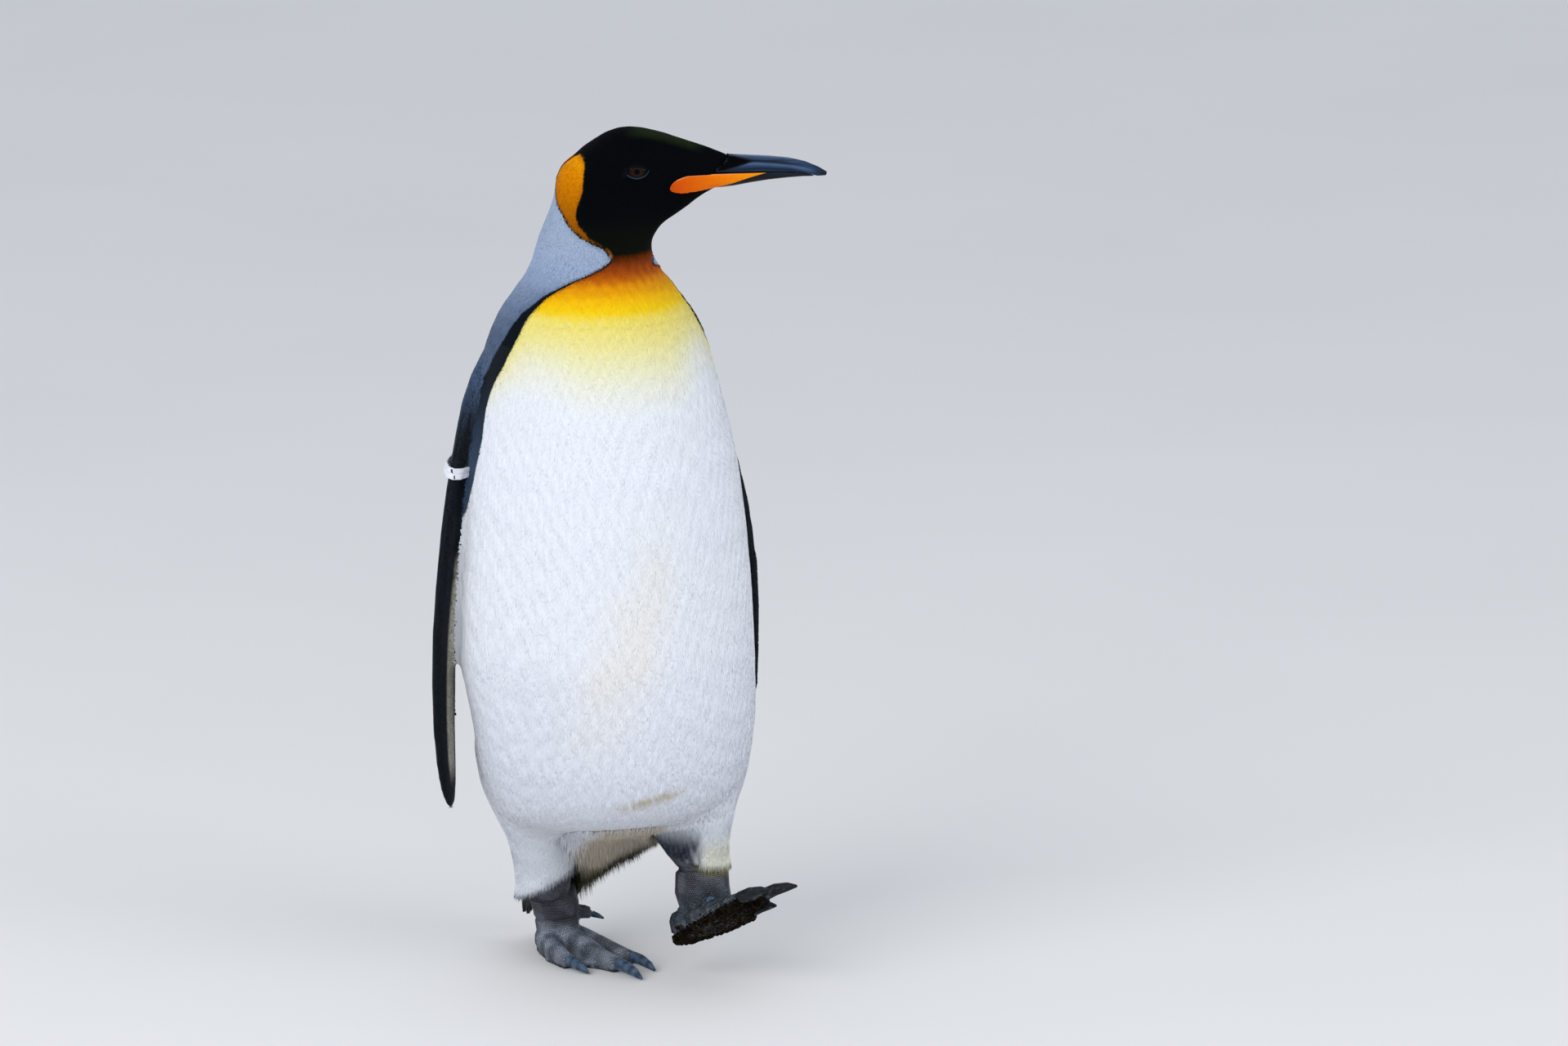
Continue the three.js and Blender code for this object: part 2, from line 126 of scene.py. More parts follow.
for name, spot, size, power in (
    ("key light", (-3.0, -1.5, 2.3), 2.6, 72),
    ("side light", (2.4, -2.6, 1.4), 2.0, 37),
):
    bpy.ops.object.light_add(type="AREA", location=spot)
    lamp = bpy.context.object
    lamp.name = name
    lamp.data.size = size
    lamp.data.energy = power
    aim_at = Vector((0, 0, 0.38)) - Vector(spot)
    lamp.rotation_euler = aim_at.to_track_quat("-Z", "Y").to_euler()


# --- Skin ----------------------------------------------------------------------------------------
# One skin over the whole bird, from crown to toes. It lies inside the solids by the depth of the
# coat, and is bare only on the shanks and feet.
FEATHERED = [
    "head", "eye_right", "eye_left", "neck", "trunk",
    "thigh_right", "thigh_left", "flipper_right", "flipper_left",
]
BARE = ["shank_right", "foot_right", "hallux_right", "shank_left", "foot_left", "hallux_left"]
OWNERS = FEATHERED + BARE
SKIN_GRAIN = 3.1  # mm between the skin's points, and finer on the feet
FOOT_GRAIN = 1.5


def arrays_of(mesh):
    """The points of a mesh in mm, their normals, and its triangles."""
    points = np.empty(len(mesh.vertices) * 3, np.float32)
    mesh.vertices.foreach_get("co", points)
    normals = np.empty(len(mesh.vertices) * 3, np.float32)
    mesh.vertex_normals.foreach_get("vector", normals)
    mesh.calc_loop_triangles()
    corners = np.empty(len(mesh.loop_triangles) * 3, np.int32)
    mesh.loop_triangles.foreach_get("vertices", corners)
    return points.reshape(-1, 3) * 1000.0, normals.reshape(-1, 3), corners.reshape(-1, 3)


def set_points(mesh, points):
    mesh.vertices.foreach_set("co", (points / 1000).astype(np.float32).ravel())
    mesh.update()


def solids_of(nodes):
    """The points in mm and triangles of several CAD nodes, and each triangle's node."""
    points, corners, owners = [], [], []
    for index, name in enumerate(nodes):
        at, _, triangles = arrays_of(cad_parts[name].data)
        corners.append(triangles + sum(map(len, points)))
        points.append(at)
        owners += [index] * len(triangles)
    return np.vstack(points), np.vstack(corners), np.array(owners)


def copy_of(name, nodes):
    """A new object with the shapes of some CAD nodes, its doubles merged."""
    points, corners, _ = solids_of(nodes)
    mesh = bpy.data.meshes.new(name)
    mesh.from_pydata((points / 1000).tolist(), [], corners.tolist())
    made = bpy.data.objects.new(name, mesh)
    bpy.context.collection.objects.link(made)
    deselect()
    made.select_set(True)
    bpy.context.view_layer.objects.active = made
    bpy.ops.object.mode_set(mode="EDIT")
    bpy.ops.mesh.select_all(action="SELECT")
    bpy.ops.mesh.remove_doubles(threshold=1e-5)
    bpy.ops.object.mode_set(mode="OBJECT")
    return made


def modify(made, kind, **settings):
    """Adds a modifier and applies it."""
    modifier = made.modifiers.new(kind.lower(), kind)
    for name, value in settings.items():
        setattr(modifier, name, value)
    deselect()
    made.select_set(True)
    bpy.context.view_layer.objects.active = made
    bpy.ops.object.modifier_apply(modifier=modifier.name)


def fuse(made, grain, rounds):
    """One closed surface over all of an object's shapes, smoothed."""
    modify(made, "REMESH", mode="VOXEL", voxel_size=grain / 1000, use_smooth_shade=True)
    modify(made, "SMOOTH", factor=0.5, iterations=rounds)


def step(value, low, high):
    """0 below `low`, 1 above `high`, and a soft step between."""
    part = np.clip((value - low) / (high - low), 0, 1)
    return part * part * (3 - 2 * part)


def tree_of(points, corners):
    return BVHTree.FromPolygons(points.tolist(), corners.tolist())


def tree_over(*nodes):
    """A search tree over the solids of some CAD nodes."""
    return tree_of(*solids_of(nodes)[:2])


def nearest(tree, points):
    """For each point: the nearest place, its face, and how far it is."""
    found = [tree.find_nearest(point) for point in points.tolist()]
    places = np.array([each[0] for each in found])
    return places, np.array([each[2] for each in found]), np.array([each[3] for each in found])


flesh_points, flesh_corners, flesh_owner = solids_of(OWNERS)
flesh_tree = tree_of(flesh_points, flesh_corners)
trunk_tree = tree_over("trunk")
flipper_tree = tree_over("flipper_right", "flipper_left")


def of_nodes(owner, *names):
    """Where the owner is one of these CAD nodes."""
    return np.isin(owner, [OWNERS.index(name) for name in names])


def owner_of(points):
    """The place in OWNERS of the CAD node that each point of the skin belongs to."""
    owner = flesh_owner[nearest(flesh_tree, points)[1]]
    return np.where(of_nodes(owner, "eye_right", "eye_left"), OWNERS.index("head"), owner)


# the depth of the coat by height, on head, neck and trunk
COAT_DEPTH = [(110, 2.6), (540, 1.8), (600, 1.2), (630, 0.9), (650, 0.8), (732, 0.7)]
FLIPPER_DEPTH = 0.8
LEG_DEPTH = 3.2


def table(rows, at):
    """Values between the rows of a table of (place, value)."""
    places, values = zip(*rows)
    return np.interp(at, places, values)


skin = copy_of("skin", FEATHERED)
fuse(skin, SKIN_GRAIN, 6)
points, normals, _ = arrays_of(skin.data)
owner = owner_of(points)
depth = table(COAT_DEPTH, points[:, 2])
depth[of_nodes(owner, "thigh_right", "thigh_left")] = LEG_DEPTH
depth[of_nodes(owner, "flipper_right", "flipper_left")] = FLIPPER_DEPTH
# the coat thins out to nothing round the bill
FACE_Z = 650
upper = points[:, 2] > FACE_Z
horn_tree = tree_over("bill_upper", "bill_lower", "bill_plate_right", "bill_plate_left")
depth[upper] *= step(nearest(horn_tree, points[upper])[2], -1, 7)
edges = np.empty(len(skin.data.edges) * 2, np.int32)
skin.data.edges.foreach_get("vertices", edges)
ends = edges.reshape(-1, 2)
joins = np.bincount(ends.ravel(), minlength=len(depth))
for _ in range(6):  # no step in depth between neighbours
    total = np.bincount(ends[:, 0], depth[ends[:, 1]], len(depth))
    total += np.bincount(ends[:, 1], depth[ends[:, 0]], len(depth))
    depth = 0.5 * depth + 0.5 * total / joins
set_points(skin.data, points - normals * depth[:, None])
modify(skin, "SMOOTH", factor=0.5, iterations=2)

# the belly runs into the thighs with no fold, except between the legs
points, _, _ = arrays_of(skin.data)
apart = nearest(trunk_tree, points)[2] + nearest(tree_over("thigh_right", "thigh_left"), points)[2]
outer_sides = np.maximum(step(-points[:, 0], 20, 40), step(points[:, 0], 62, 80))
filled = step(-apart, -30, -9) * outer_sides * step(-points[:, 1], -75, -45)
# nor do the trunk's sections show
free = nearest(flipper_tree, points)[2]
z = points[:, 2]
even = of_nodes(owner, "trunk") * step(z, 150, 185) * step(-z, -600, -560) * step(free, 8, 20)
filled = np.maximum(filled, even)
folds = skin.vertex_groups.new(name="folds")
for index in np.flatnonzero(filled > 0.02):
    folds.add([int(index)], float(filled[index]), "REPLACE")
modify(skin, "SMOOTH", factor=0.5, iterations=70, vertex_group="folds")
skin.vertex_groups.clear()

# the bare legs run up inside the thighs
LEG_RADIUS = 18.5
legs = copy_of("legs", BARE)
for low, high in (((-33, 58, 50), (-41, 50, 125)), ((66, -54, 84), (62, -44, 140))):
    low, high = Vector(low) / 1000, Vector(high) / 1000
    deselect()
    legs.select_set(True)
    bpy.context.view_layer.objects.active = legs
    bpy.ops.object.mode_set(mode="EDIT")
    bpy.ops.mesh.select_all(action="DESELECT")
    turn = (high - low).to_track_quat("Z", "X").to_euler()
    bpy.ops.mesh.primitive_cylinder_add(vertices=24, radius=LEG_RADIUS / 1000, depth=(high - low).length,
                                        location=(low + high) / 2, rotation=turn)
    bpy.ops.object.mode_set(mode="OBJECT")
fuse(legs, FOOT_GRAIN, 3)
points, normals, _ = arrays_of(legs.data)
# a crease goes round the planted ankle
CREASE_Z = 33
CREASE = 1.6  # deep and wide
over = points[:, 2] - CREASE_Z - 0.1 * (points[:, 0] + 25)
crease = CREASE * np.exp(-(over / CREASE) ** 2) * (points[:, 0] < 20) * (np.abs(normals[:, 2]) < 0.8)
points = points - normals * crease[:, None]
points[:, 2] = points[:, 2].clip(0)
set_points(legs.data, points)
modify(skin, "BOOLEAN", operation="UNION", object=legs, solver="MANIFOLD")
bpy.data.objects.remove(legs)

skin_points, skin_normals, skin_corners = arrays_of(skin.data)
skin_tree = tree_of(skin_points, skin_corners)
middles = skin_points[skin_corners].mean(1)
skin_owner = owner_of(middles)


# --- Markings ------------------------------------------------------------------------------------
# The plumage pattern of an adult, as colours over the bird's own heights and turns. Skin and coat
# both take their colour from here, so that no pale skin shows between dark feathers.
NECK_AXIS = (0, 27)  # x and y, mm
HEAD_TURN = 70.0
HEAD_AHEAD = np.array([np.sin(np.radians(HEAD_TURN)), -np.cos(np.radians(HEAD_TURN)), 0])
HEAD_LEFT = np.array([-HEAD_AHEAD[1], HEAD_AHEAD[0], 0])
# how far the middle of the body stands back, and how far the neck turns to the left, by height
AXIS_BACK = [(88, 64), (98, 58), (112, 44), (126, 22), (136, 8), (146, 0), (228, 0), (336, 3), (443, 7),
             (482, 11), (517, 16), (549, 22), (581, 27)]
TURN = [(549, 0), (569, 2), (581, 6), (595, 14), (608, 28), (621, 46), (634, 60), (646, 68), (660, 70)]
# degrees round from the front, by height: where the black line begins, and where the grey begins
LINE_FROM = [(130, 124), (180, 114), (250, 111), (340, 106), (400, 97), (440, 90), (473, 86), (500, 86),
             (514, 84), (526, 80), (537, 75), (551, 71), (565, 69), (590, 70.5), (600, 69.5), (608, 66),
             (613, 60.5), (619, 54), (624, 51.5)]
GREY_FROM = [(130, 130), (180, 121), (250, 118), (340, 113), (400, 104), (440, 98), (473, 94), (505, 92.5),
             (525, 91), (540, 86), (552, 81.5), (563, 78.5), (580, 77), (590, 75.2), (600, 73),
             (608, 69), (613, 63.6), (619, 57), (624, 54)]
# the ear patch: its border with the hood and its border with the grey
PATCH_FRONT = [(624, 50), (628, 53), (632, 60), (637, 74), (642, 91.5), (652, 109), (660, 115), (667, 114),
               (674, 110), (681, 106), (700, 104), (705, 106), (708, 114), (709.5, 134)]
PATCH_REAR = [(624, 54), (629, 59), (635, 70), (639, 86), (643, 101), (649, 115), (656, 126), (664, 139),
              (671, 153), (680, 166), (690, 173), (700, 174), (706, 170), (709.5, 140)]
CROWN = [(20, 730), (42, 730), (60, 726), (80, 719.5), (100, 712.5)]  # its top, by the reach from the neck
HOOD_EDGE = 627  # mm, across the throat
# plumage colours by height; low on the belly the white greys with painted shade
BREAST = [(110, "#ced1d9"), (190, "#dbdee6"), (300, "#e6e8ee"), (440, "#e6e9ef"), (490, "#e6e9ee"),
          (512, "#e8e8dc"), (530, "#e8e5bc"), (548, "#eae19a"), (574, "#ecdb6a"), (583, "#f0cc0e"),
          (594, "#f0b600"), (603, "#dc8c00"), (611, "#b05200"), (619, "#803200"), (626, "#4c1f00"),
          (632, "#1c0e04")]
BACK = [(130, "#556070"), (250, "#5d6a7d"), (400, "#5a687d"), (500, "#414e63"), (560, "#4c5a71"),
        (585, "#6a7b95"), (612, "#8c9cb6"), (640, "#93a2b9"), (684, "#93a2b8")]
PATCH = [(624, "#7d4203"), (645, "#8c4c02"), (662, "#a25b00"), (680, "#c07000"), (692, "#d07e00"),
         (704, "#e89400")]
SIDE_LINE = [(330, "#263140"), (450, "#37475d"), (500, "#1d2733"), (530, "#10161d")]


def mix(under, over, part):
    return under + (over - under) * np.asarray(part)[..., None]


def colours(rows, at):
    """Colours between the rows of a table of (place, hex colour)."""
    places, codes = zip(*rows)
    mixed = np.array([linear(code) for code in codes])
    return np.stack([np.interp(at, places, channel) for channel in mixed.T], -1)


def round_body(points):
    """Degrees round from the front, to the left, and the distance from the body's axis."""
    z = points[:, 2]
    x, y = points[:, 0], points[:, 1] - table(AXIS_BACK, z)
    turn = np.degrees(np.arctan2(x, -y)) - table(TURN, z)
    return (turn + 180) % 360 - 180, np.hypot(x, y)


def pattern_turn(points):
    """The same, with the grey of the neck's left side drawn forwards, as the head's turn draws it."""
    turn, radius = round_body(points)
    return np.where(turn > 0, turn + 44 * np.exp(-((points[:, 2] - 617) / 7) ** 2), turn), radius


def past(edge, z, turn, radius):
    """How far, in mm, a point is round behind an edge, square to that edge."""
    arc = np.radians(np.abs(turn) - table(edge, z)) * radius
    steep = np.radians(table(edge, z + 0.5) - table(edge, z - 0.5)) * radius
    return arc / np.sqrt(1 + steep ** 2)


def border_gap(points):
    """How far, in mm, a point is from the nearest sharp edge of the pattern."""
    z = points[:, 2]
    turn, radius = pattern_turn(points)
    low, high = ([np.abs(past(rows, z, turn, radius)) for rows in pair]
                 for pair in ((LINE_FROM, GREY_FROM), (PATCH_FRONT, PATCH_REAR)))
    return np.where(z > HOOD_EDGE, np.min(high, 0), np.min(low, 0))


def wave(points, size, seed):
    """Smooth noise from -1 to 1, in patches about `size` mm across."""
    rng = np.random.default_rng(seed)
    total = 0
    for _ in range(5):
        lie = rng.normal(size=3)
        lie = lie / np.linalg.norm(lie)
        total = total + np.sin(points @ lie * (2 * np.pi / size) + rng.uniform(0, 6.3))
    return total / 3.2


def body_marking(points):
    z = points[:, 2]
    turn, radius = pattern_turn(points)
    rise = 10 + 16 * step(np.abs(turn), 20, 60) + 16 * step(turn, 20, 60)
    front = colours(BREAST, z - rise * step(-z, -588, -540) + 1.6 * wave(points, 9, 1))
    behind_line = past(LINE_FROM, z, turn, radius)
    # the bib's yellow runs down beside the black line
    rim = np.exp(np.minimum(behind_line, 0) / 13) * step(z, 488, 545) * step(-z, -588, -570)
    front = mix(front, linear("#eedf7a"), 0.75 * rim)
    # a faint stain down the middle of the belly, a stronger one where it folds over the feet
    along = table([(235, -26), (300, -11), (370, 1), (440, 0)], z)
    stain = np.exp(-((turn - along - 4 * wave(points, 60, 2)) / 12) ** 2)
    stain = stain * step(z, 190, 300) * step(-z, -450, -330) * (1 + 0.25 * wave(points, 30, 22))
    front = mix(front, linear("#e7e0ca"), 0.34 * stain.clip(0, 1.4))
    soiled = np.exp(-((z - 176 - 0.42 * turn) / 3.4) ** 2) * np.exp(-((turn + 1) / 14) ** 4)
    streaks = wave(points * np.array([1, 1, 0.25]), 5, 3)
    front = mix(front, linear("#96812c"), soiled * step(streaks, -1.7, 0.3) * 0.75)
    # soft strands, a little lighter and darker in turn: painted light and shade of the feathers' clumps
    front = front * (1 + 0.035 * wave(points * np.array([1, 1, 0.3]), 4.5, 23))[:, None]  # soft strands
    # under the belly, between the legs, the down is dull and then soiled dark
    between = step(-np.abs(points[:, 0] - 12), -52, -30) * step(points[:, 1], -75, -50)
    front = mix(front, linear("#b3a58c"), step(-z, -166, -130) * between * 0.8)
    hanging = -z + 0.5 * points[:, 0] + 6 * wave(points, 9, 5)
    front = mix(front, linear("#26210f"), step(hanging, -94, -76) * between)
    olive = np.exp(-((points[:, 0] + 4) / 16) ** 2) * step(-z, -88, -72)
    olive = olive * step(wave(points, 6, 21), -0.6, 0.5)
    front = mix(front, linear("#4b4a1a"), 0.8 * olive * between)
    grey = colours(BACK, z)
    behind_grey = past(GREY_FROM, z, turn, radius)
    grey = mix(grey, linear("#4a5b78"), 0.7 * np.exp(-np.maximum(behind_grey, 0) / 11) * step(-z, -612, -585))
    made = mix(front, colours(SIDE_LINE, z), step(behind_line, -0.5, 0.5))
    return mix(made, grey, step(behind_grey, -0.7, 0.7))


def head_marking(points):
    z = points[:, 2]
    turn, radius = pattern_turn(points)
    reach = (points - np.array([*NECK_AXIS, 0])) @ HEAD_AHEAD
    hood = mix(linear("#030508"), linear("#0a0e06"), step(-z, -665, -632) * 0.8)
    # a painted olive sheen along the top front of the crown, where the sky would glance off the feathers
    crown_sheen = step(z - table(CROWN, reach), -8, -1) * step(reach, 22, 44) * step(-reach, -95, -80)
    hood = mix(hood, linear("#1b2512"), crown_sheen)
    patch = mix(colours(PATCH, z), linear("#8a5a08"), 0.25 * (wave(points, 5, 4) > 0.4))
    nape = mix(colours(BACK, z), linear("#0d1013"), step(z, 682, 690))
    made = mix(hood, patch, step(past(PATCH_FRONT, z, turn, radius), -0.5, 0.5) * step(-z, -710, -709))
    behind = past(PATCH_REAR, z, turn, radius)
    made = mix(made, linear("#12150a"), step(behind, -1.0, -0.4))
    return mix(made, np.where((z > 709.5)[:, None], hood, nape), step(behind, 0.3, 0.7))


# the flipper's leading edge by height: how far out, how far forward, and the blade's width there
FLIPPER_OUT = [(147, 130), (154, 136), (168, 143), (192, 149), (234, 153), (291, 153), (349, 148),
               (405, 140), (441, 132), (472, 124), (505, 114), (528, 101), (548, 86)]
FLIPPER_AHEAD = [(147, 38), (154, 29), (168, 20), (192, 13), (234, 9), (291, 8), (349, 9), (405, 12),
                 (441, 15), (472, 18), (505, 20), (528, 22), (548, 22)]
FLIPPER_CHORD = [(147, 12), (154, 27), (168, 42), (192, 54), (234, 62), (291, 66), (349, 65), (405, 61),
                 (441, 56), (472, 54), (505, 50), (528, 45), (548, 38)]
FLIPPER_SET = np.radians(35)  # the blade's turn from straight back
SHOULDER_Z = 548
LEFT_BACK, LEFT_TUCK = 9, 11  # mm, the left flipper lies further back, and closer at its tip
HIGH_BACK, HIGH_IN = 6, 2.5  # and its upper part more so
FLIPPER_TONES = [(150, "#0d131b"), (300, "#111923"), (430, "#1a2533"), (490, "#2c3b52"), (545, "#465872")]


def on_flipper(points, side):
    """Across the blade, 0 at its leading edge and 1 behind, and the way back along it."""
    sign = -1 if side == "right" else 1
    z = points[:, 2]
    out, ahead = table(FLIPPER_OUT, z), table(FLIPPER_AHEAD, z)
    if side == "left":
        upper = ((z - 380) / 60).clip(0, 1)
        out = out - (LEFT_TUCK * (np.maximum(SHOULDER_Z - z, 0) / 400) ** 2 + HIGH_IN * upper)
        ahead = ahead + LEFT_BACK + HIGH_BACK * upper
    lead = np.stack([sign * out, ahead, z], 1)
    way = np.array([-sign * np.sin(FLIPPER_SET), np.cos(FLIPPER_SET), 0])
    return ((points - lead) @ way) / table(FLIPPER_CHORD, z), way


def flipper_marking(points, normals, side):
    z = points[:, 2]
    across, way = on_flipper(points, side)
    sign = -1 if side == "right" else 1
    inner = normals @ np.array([-sign * way[1], -abs(way[0]), 0]) > 0.25
    dark_front = step(-across, -0.16, -0.04) * step(-z, -530, -460)
    outside = mix(colours(FLIPPER_TONES, z), linear("#0b1016"), dark_front)
    rear_edge = step(across, 0.95, 0.99) * step(z, 230, 300) * (0.7 + 0.3 * wave(points, 14, 6)).clip(0, 1)
    outside = mix(outside, linear("#a9aeb4"), rear_edge)
    pale = step(across, 0.26, 0.36) * step(-across, -0.8, -0.66) * step(z, 165, 190) * step(-z, -385, -345)
    inside = mix(linear("#10151b"), linear("#b9b6a6"), pale)
    return np.where(inner[:, None], inside, outside)


# each leg's hem over its shank: its height, its slope across, and where across that height is
HEMS = {"right": (69, 0.58, -55), "left": (104, -0.2, 80)}
HEM_WAY = (0.94, -0.34)  # across the legs, level
HEM_HALF = 26  # mm it slopes over, each way


def hem_height(points, side):
    middle, slope, at = HEMS[side]
    across = HEM_WAY[0] * points[:, 0] + HEM_WAY[1] * points[:, 1] - at
    return middle + slope * across.clip(-HEM_HALF, HEM_HALF)


def thigh_marking(points, side):
    z = points[:, 2]
    turn, _ = round_body(points)
    # the legs' white is greyer than the belly's, painted shade under the belly; high on the flank it carries
    # on the trunk's pattern
    made = mix(np.tile(linear("#d2d6dd"), (len(points), 1)), body_marking(points),
               step(z + 7 * wave(points, 12, 17), 140, 165) * step(points[:, 1], 45, 65))
    across = points[:, 0] + 4 * wave(points, 7, 12)
    if side == "left":
        dark = mix(linear("#1d2128"), linear("#434b58"), step(wave(points, 4, 16), -0.8, 1.2))
        made = mix(made, dark, step(-across, -64, -46) * step(-z, -150, -116))
        made = mix(made, linear("#dbd9b8"), 0.6 * step(-z, -135, -108) * step(points[:, 0], 50, 66))
    else:
        made = mix(made, linear("#54565b"), step(across, -25, -14) * step(-z, -112, -80))
    bare = foot_marking(points, np.tile([0.0, 0, 1], (len(points), 1)), side)
    return mix(made, bare, step(hem_height(points, side) - z, 0, 2))


# the plane of each sole: where it is, and its turn from flat on the floor
FEET = {"right": ((-25, 60, 0), (0, 0, 18)), "left": ((58, -56, 35), (-30, 18, 39))}


def foot_axes(side):
    """The foot's own directions as columns: across, back and up."""
    place, (pitch, roll, turn) = FEET[side]
    made = Matrix.Rotation(np.radians(turn), 3, "Z") @ Matrix.Rotation(np.radians(pitch), 3, "X")
    return np.array(place, float), np.array(made @ Matrix.Rotation(np.radians(roll), 3, "Y"))


def foot_marking(points, normals, side):
    place, axes = foot_axes(side)
    own = (points - place) @ axes
    facing = normals @ axes
    on_toes = step(-own[:, 2], -34, -18)
    made = mix(linear("#2f3137"), linear("#4b4e55"), step(wave(points, 17, 7), -0.6, 0.9))
    toes = ("#4b515b", "#7a818e") if side == "right" else ("#1f262f", "#333c48")
    made = mix(made, mix(*map(linear, toes), step(wave(points, 17, 7), -0.7, 0.7)), on_toes)
    if side == "left":  # stained green-brown under the hem
        under = hem_height(points, side) - points[:, 2]
        stained = step(-under, -12, -5) * step(under, -4, 0) * step(points[:, 0], 50, 62)
        made = mix(made, linear("#75713f"), 0.75 * stained * step(wave(points, 9, 13), -1.4, -0.2))
    dusty = step(-own[:, 2], -26, -4) * step(wave(points, 6, 8), -0.4, 0.8)
    made = mix(made, linear("#6b6a66"), 0.5 * dusty)
    mud = step(-facing[:, 2], 0.3, 0.7) * step(-own[:, 2], -7, -3)
    edge = step(-own[:, 2], -6, -1.5) * step(wave(points, 5, 9), -0.3, 0.5)
    return mix(made, linear("#0f0c07"), np.maximum(mud, 0.85 * edge))


def marking(points, normals, owner):
    """The colour of the skin or coat at each point."""
    made = body_marking(points)
    head = of_nodes(owner, "head", "neck")
    in_hood = step(points[head, 2], HOOD_EDGE - 2, HOOD_EDGE + 2)
    made[head] = mix(made[head], head_marking(points[head]), in_hood)
    for index, name in enumerate(OWNERS):
        here = owner == index
        side = name.rpartition("_")[2]
        if not here.any():
            continue
        if name.startswith("flipper"):
            made[here] = flipper_marking(points[here], normals[here], side)
        elif name.startswith("thigh"):
            made[here] = thigh_marking(points[here], side)
        elif name in BARE:
            made[here] = foot_marking(points[here], normals[here], side)
    return made


def mark(mesh, tones):
    """Stores linear colours as a mesh's marking."""
    layer = mesh.color_attributes.new("marking", "FLOAT_COLOR", "POINT")
    tones = np.column_stack([tones, np.ones(len(tones))])
    layer.data.foreach_set("color", tones.astype(np.float32).ravel())


def take_marking(tree, shader, pattern, low=1.0, high=1.0, full=1.0, relief=None):
    """Colours a finish by the marking, times `low` to `high` where its pattern runs from 0 to `full`.

    The relief is how deep the pattern is, in metres, and how strongly it shows.
    """
    tone = node(tree, "Attribute", attribute_name="marking").outputs["Color"]
    if low != high:
        reach = {"Value": pattern, "From Max": full, "To Min": low, "To Max": high}
        shade = node(tree, "MapRange", reach).outputs["Result"]
        clouded = {"Factor": 1.0, "A": tone, "B": shade}
        tone = node(tree, "Mix", clouded, data_type="RGBA", blend_type="MULTIPLY").outputs["Result"]
    tree.links.new(tone, shader.inputs["Base Color"])
    if relief is not None:
        bump = node(tree, "Bump", {"Height": pattern, "Distance": relief[0], "Strength": relief[1]})
        tree.links.new(bump.outputs["Normal"], shader.inputs["Normal"])


mark(skin.data, marking(skin_points, skin_normals, owner_of(skin_points)))
# bare skin of the feet: leathery, in small raised scales that catch the light at their edges
material, tree, shader = new_material("leathery foot skin", Roughness=0.7, Specular_IOR_Level=0.06)
where = node(tree, "TexCoord").outputs["Object"]
grain = node(tree, "TexVoronoi", {"Vector": where, "Scale": 520.0}, feature="DISTANCE_TO_EDGE")
take_marking(tree, shader, grain.outputs["Distance"], 0.55, 1.0, full=0.16, relief=(0.0012, 0.7))
skin.data.materials.clear()
skin.data.materials.append(material)
skin.data.shade_smooth()
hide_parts(*[name for name in OWNERS if not name.startswith("eye")])
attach(skin, "root")

# --- Coat ----------------------------------------------------------------------------------------
# Short stiff feathers in overlapping rows. Each is a keeled vane that is rooted in the skin, lies
# along the body and ends in a point, or in two points where the plumage looks like fine fur.

# a vane's corners are its root, its two edges with the keel between them, and its one or two tips
VANE = [(0, 1, 2), (0, 2, 3), (1, 4, 2), (2, 4, 3)]
SPLIT_VANE = [(0, 1, 2), (0, 2, 3), (1, 4, 2), (2, 5, 3)]
# painted shade on each vane: its two edges a little darker than its keel, and its root darker still by the
# coat's own amount
VANE_PAINTED_SHADE = [0.94, 1.0, 0.94, 1.0, 1.0]  # of each corner but the root
VANE_MAP = [(0.5, 1), (0, 0.5), (0.5, 0.5), (1, 0.5), (0.3, 0), (0.7, 0)]
QUILL_SUNK = 0.2  # mm that each root is sunk into the skin
FORK_HALF = 0.42  # how far apart the two tips are, by the vane's width
PATCH_SIZE = 0.003  # of a coat piece's map, for each feather
MAP_EDGE, MAP_SPAN = 0.01, 0.97  # of the map, clear at its edge and taken up by the feathers


def unit(vectors):
    return vectors / np.maximum(np.linalg.norm(vectors, axis=1, keepdims=True), 1e-9)


def spread(surface, mask, per_mm2, seed):
    """Places spread over the chosen faces of a surface, the surface's normals there, and the faces."""
    points, normals, corners = surface
    faces = np.flatnonzero(mask)
    rng = np.random.default_rng(seed)
    sides = points[corners[faces, 1:]] - points[corners[faces, :1]]
    area = np.linalg.norm(np.cross(sides[:, 0], sides[:, 1]), axis=1) / 2
    total = np.cumsum(area * (per_mm2 * np.ones(len(mask)))[faces])
    at = np.arange(int(total[-1])) + rng.random(int(total[-1]))
    chosen = faces[np.searchsorted(total, at).clip(0, len(faces) - 1)]
    share = np.sort(rng.random((len(at), 2)), axis=1)
    share = np.stack([share[:, 0], share[:, 1] - share[:, 0], 1 - share[:, 1]], 1)[..., None]
    return (points[corners[chosen]] * share).sum(1), unit((normals[corners[chosen]] * share).sum(1)), chosen


def sow(mask, per_mm2, seed):
    """Feather roots on the skin, its normals there, and the node that each belongs to."""
    roots, normals, chosen = spread((skin_points, skin_normals, skin_corners), mask, per_mm2, seed)
    return roots, normals, skin_owner[chosen]


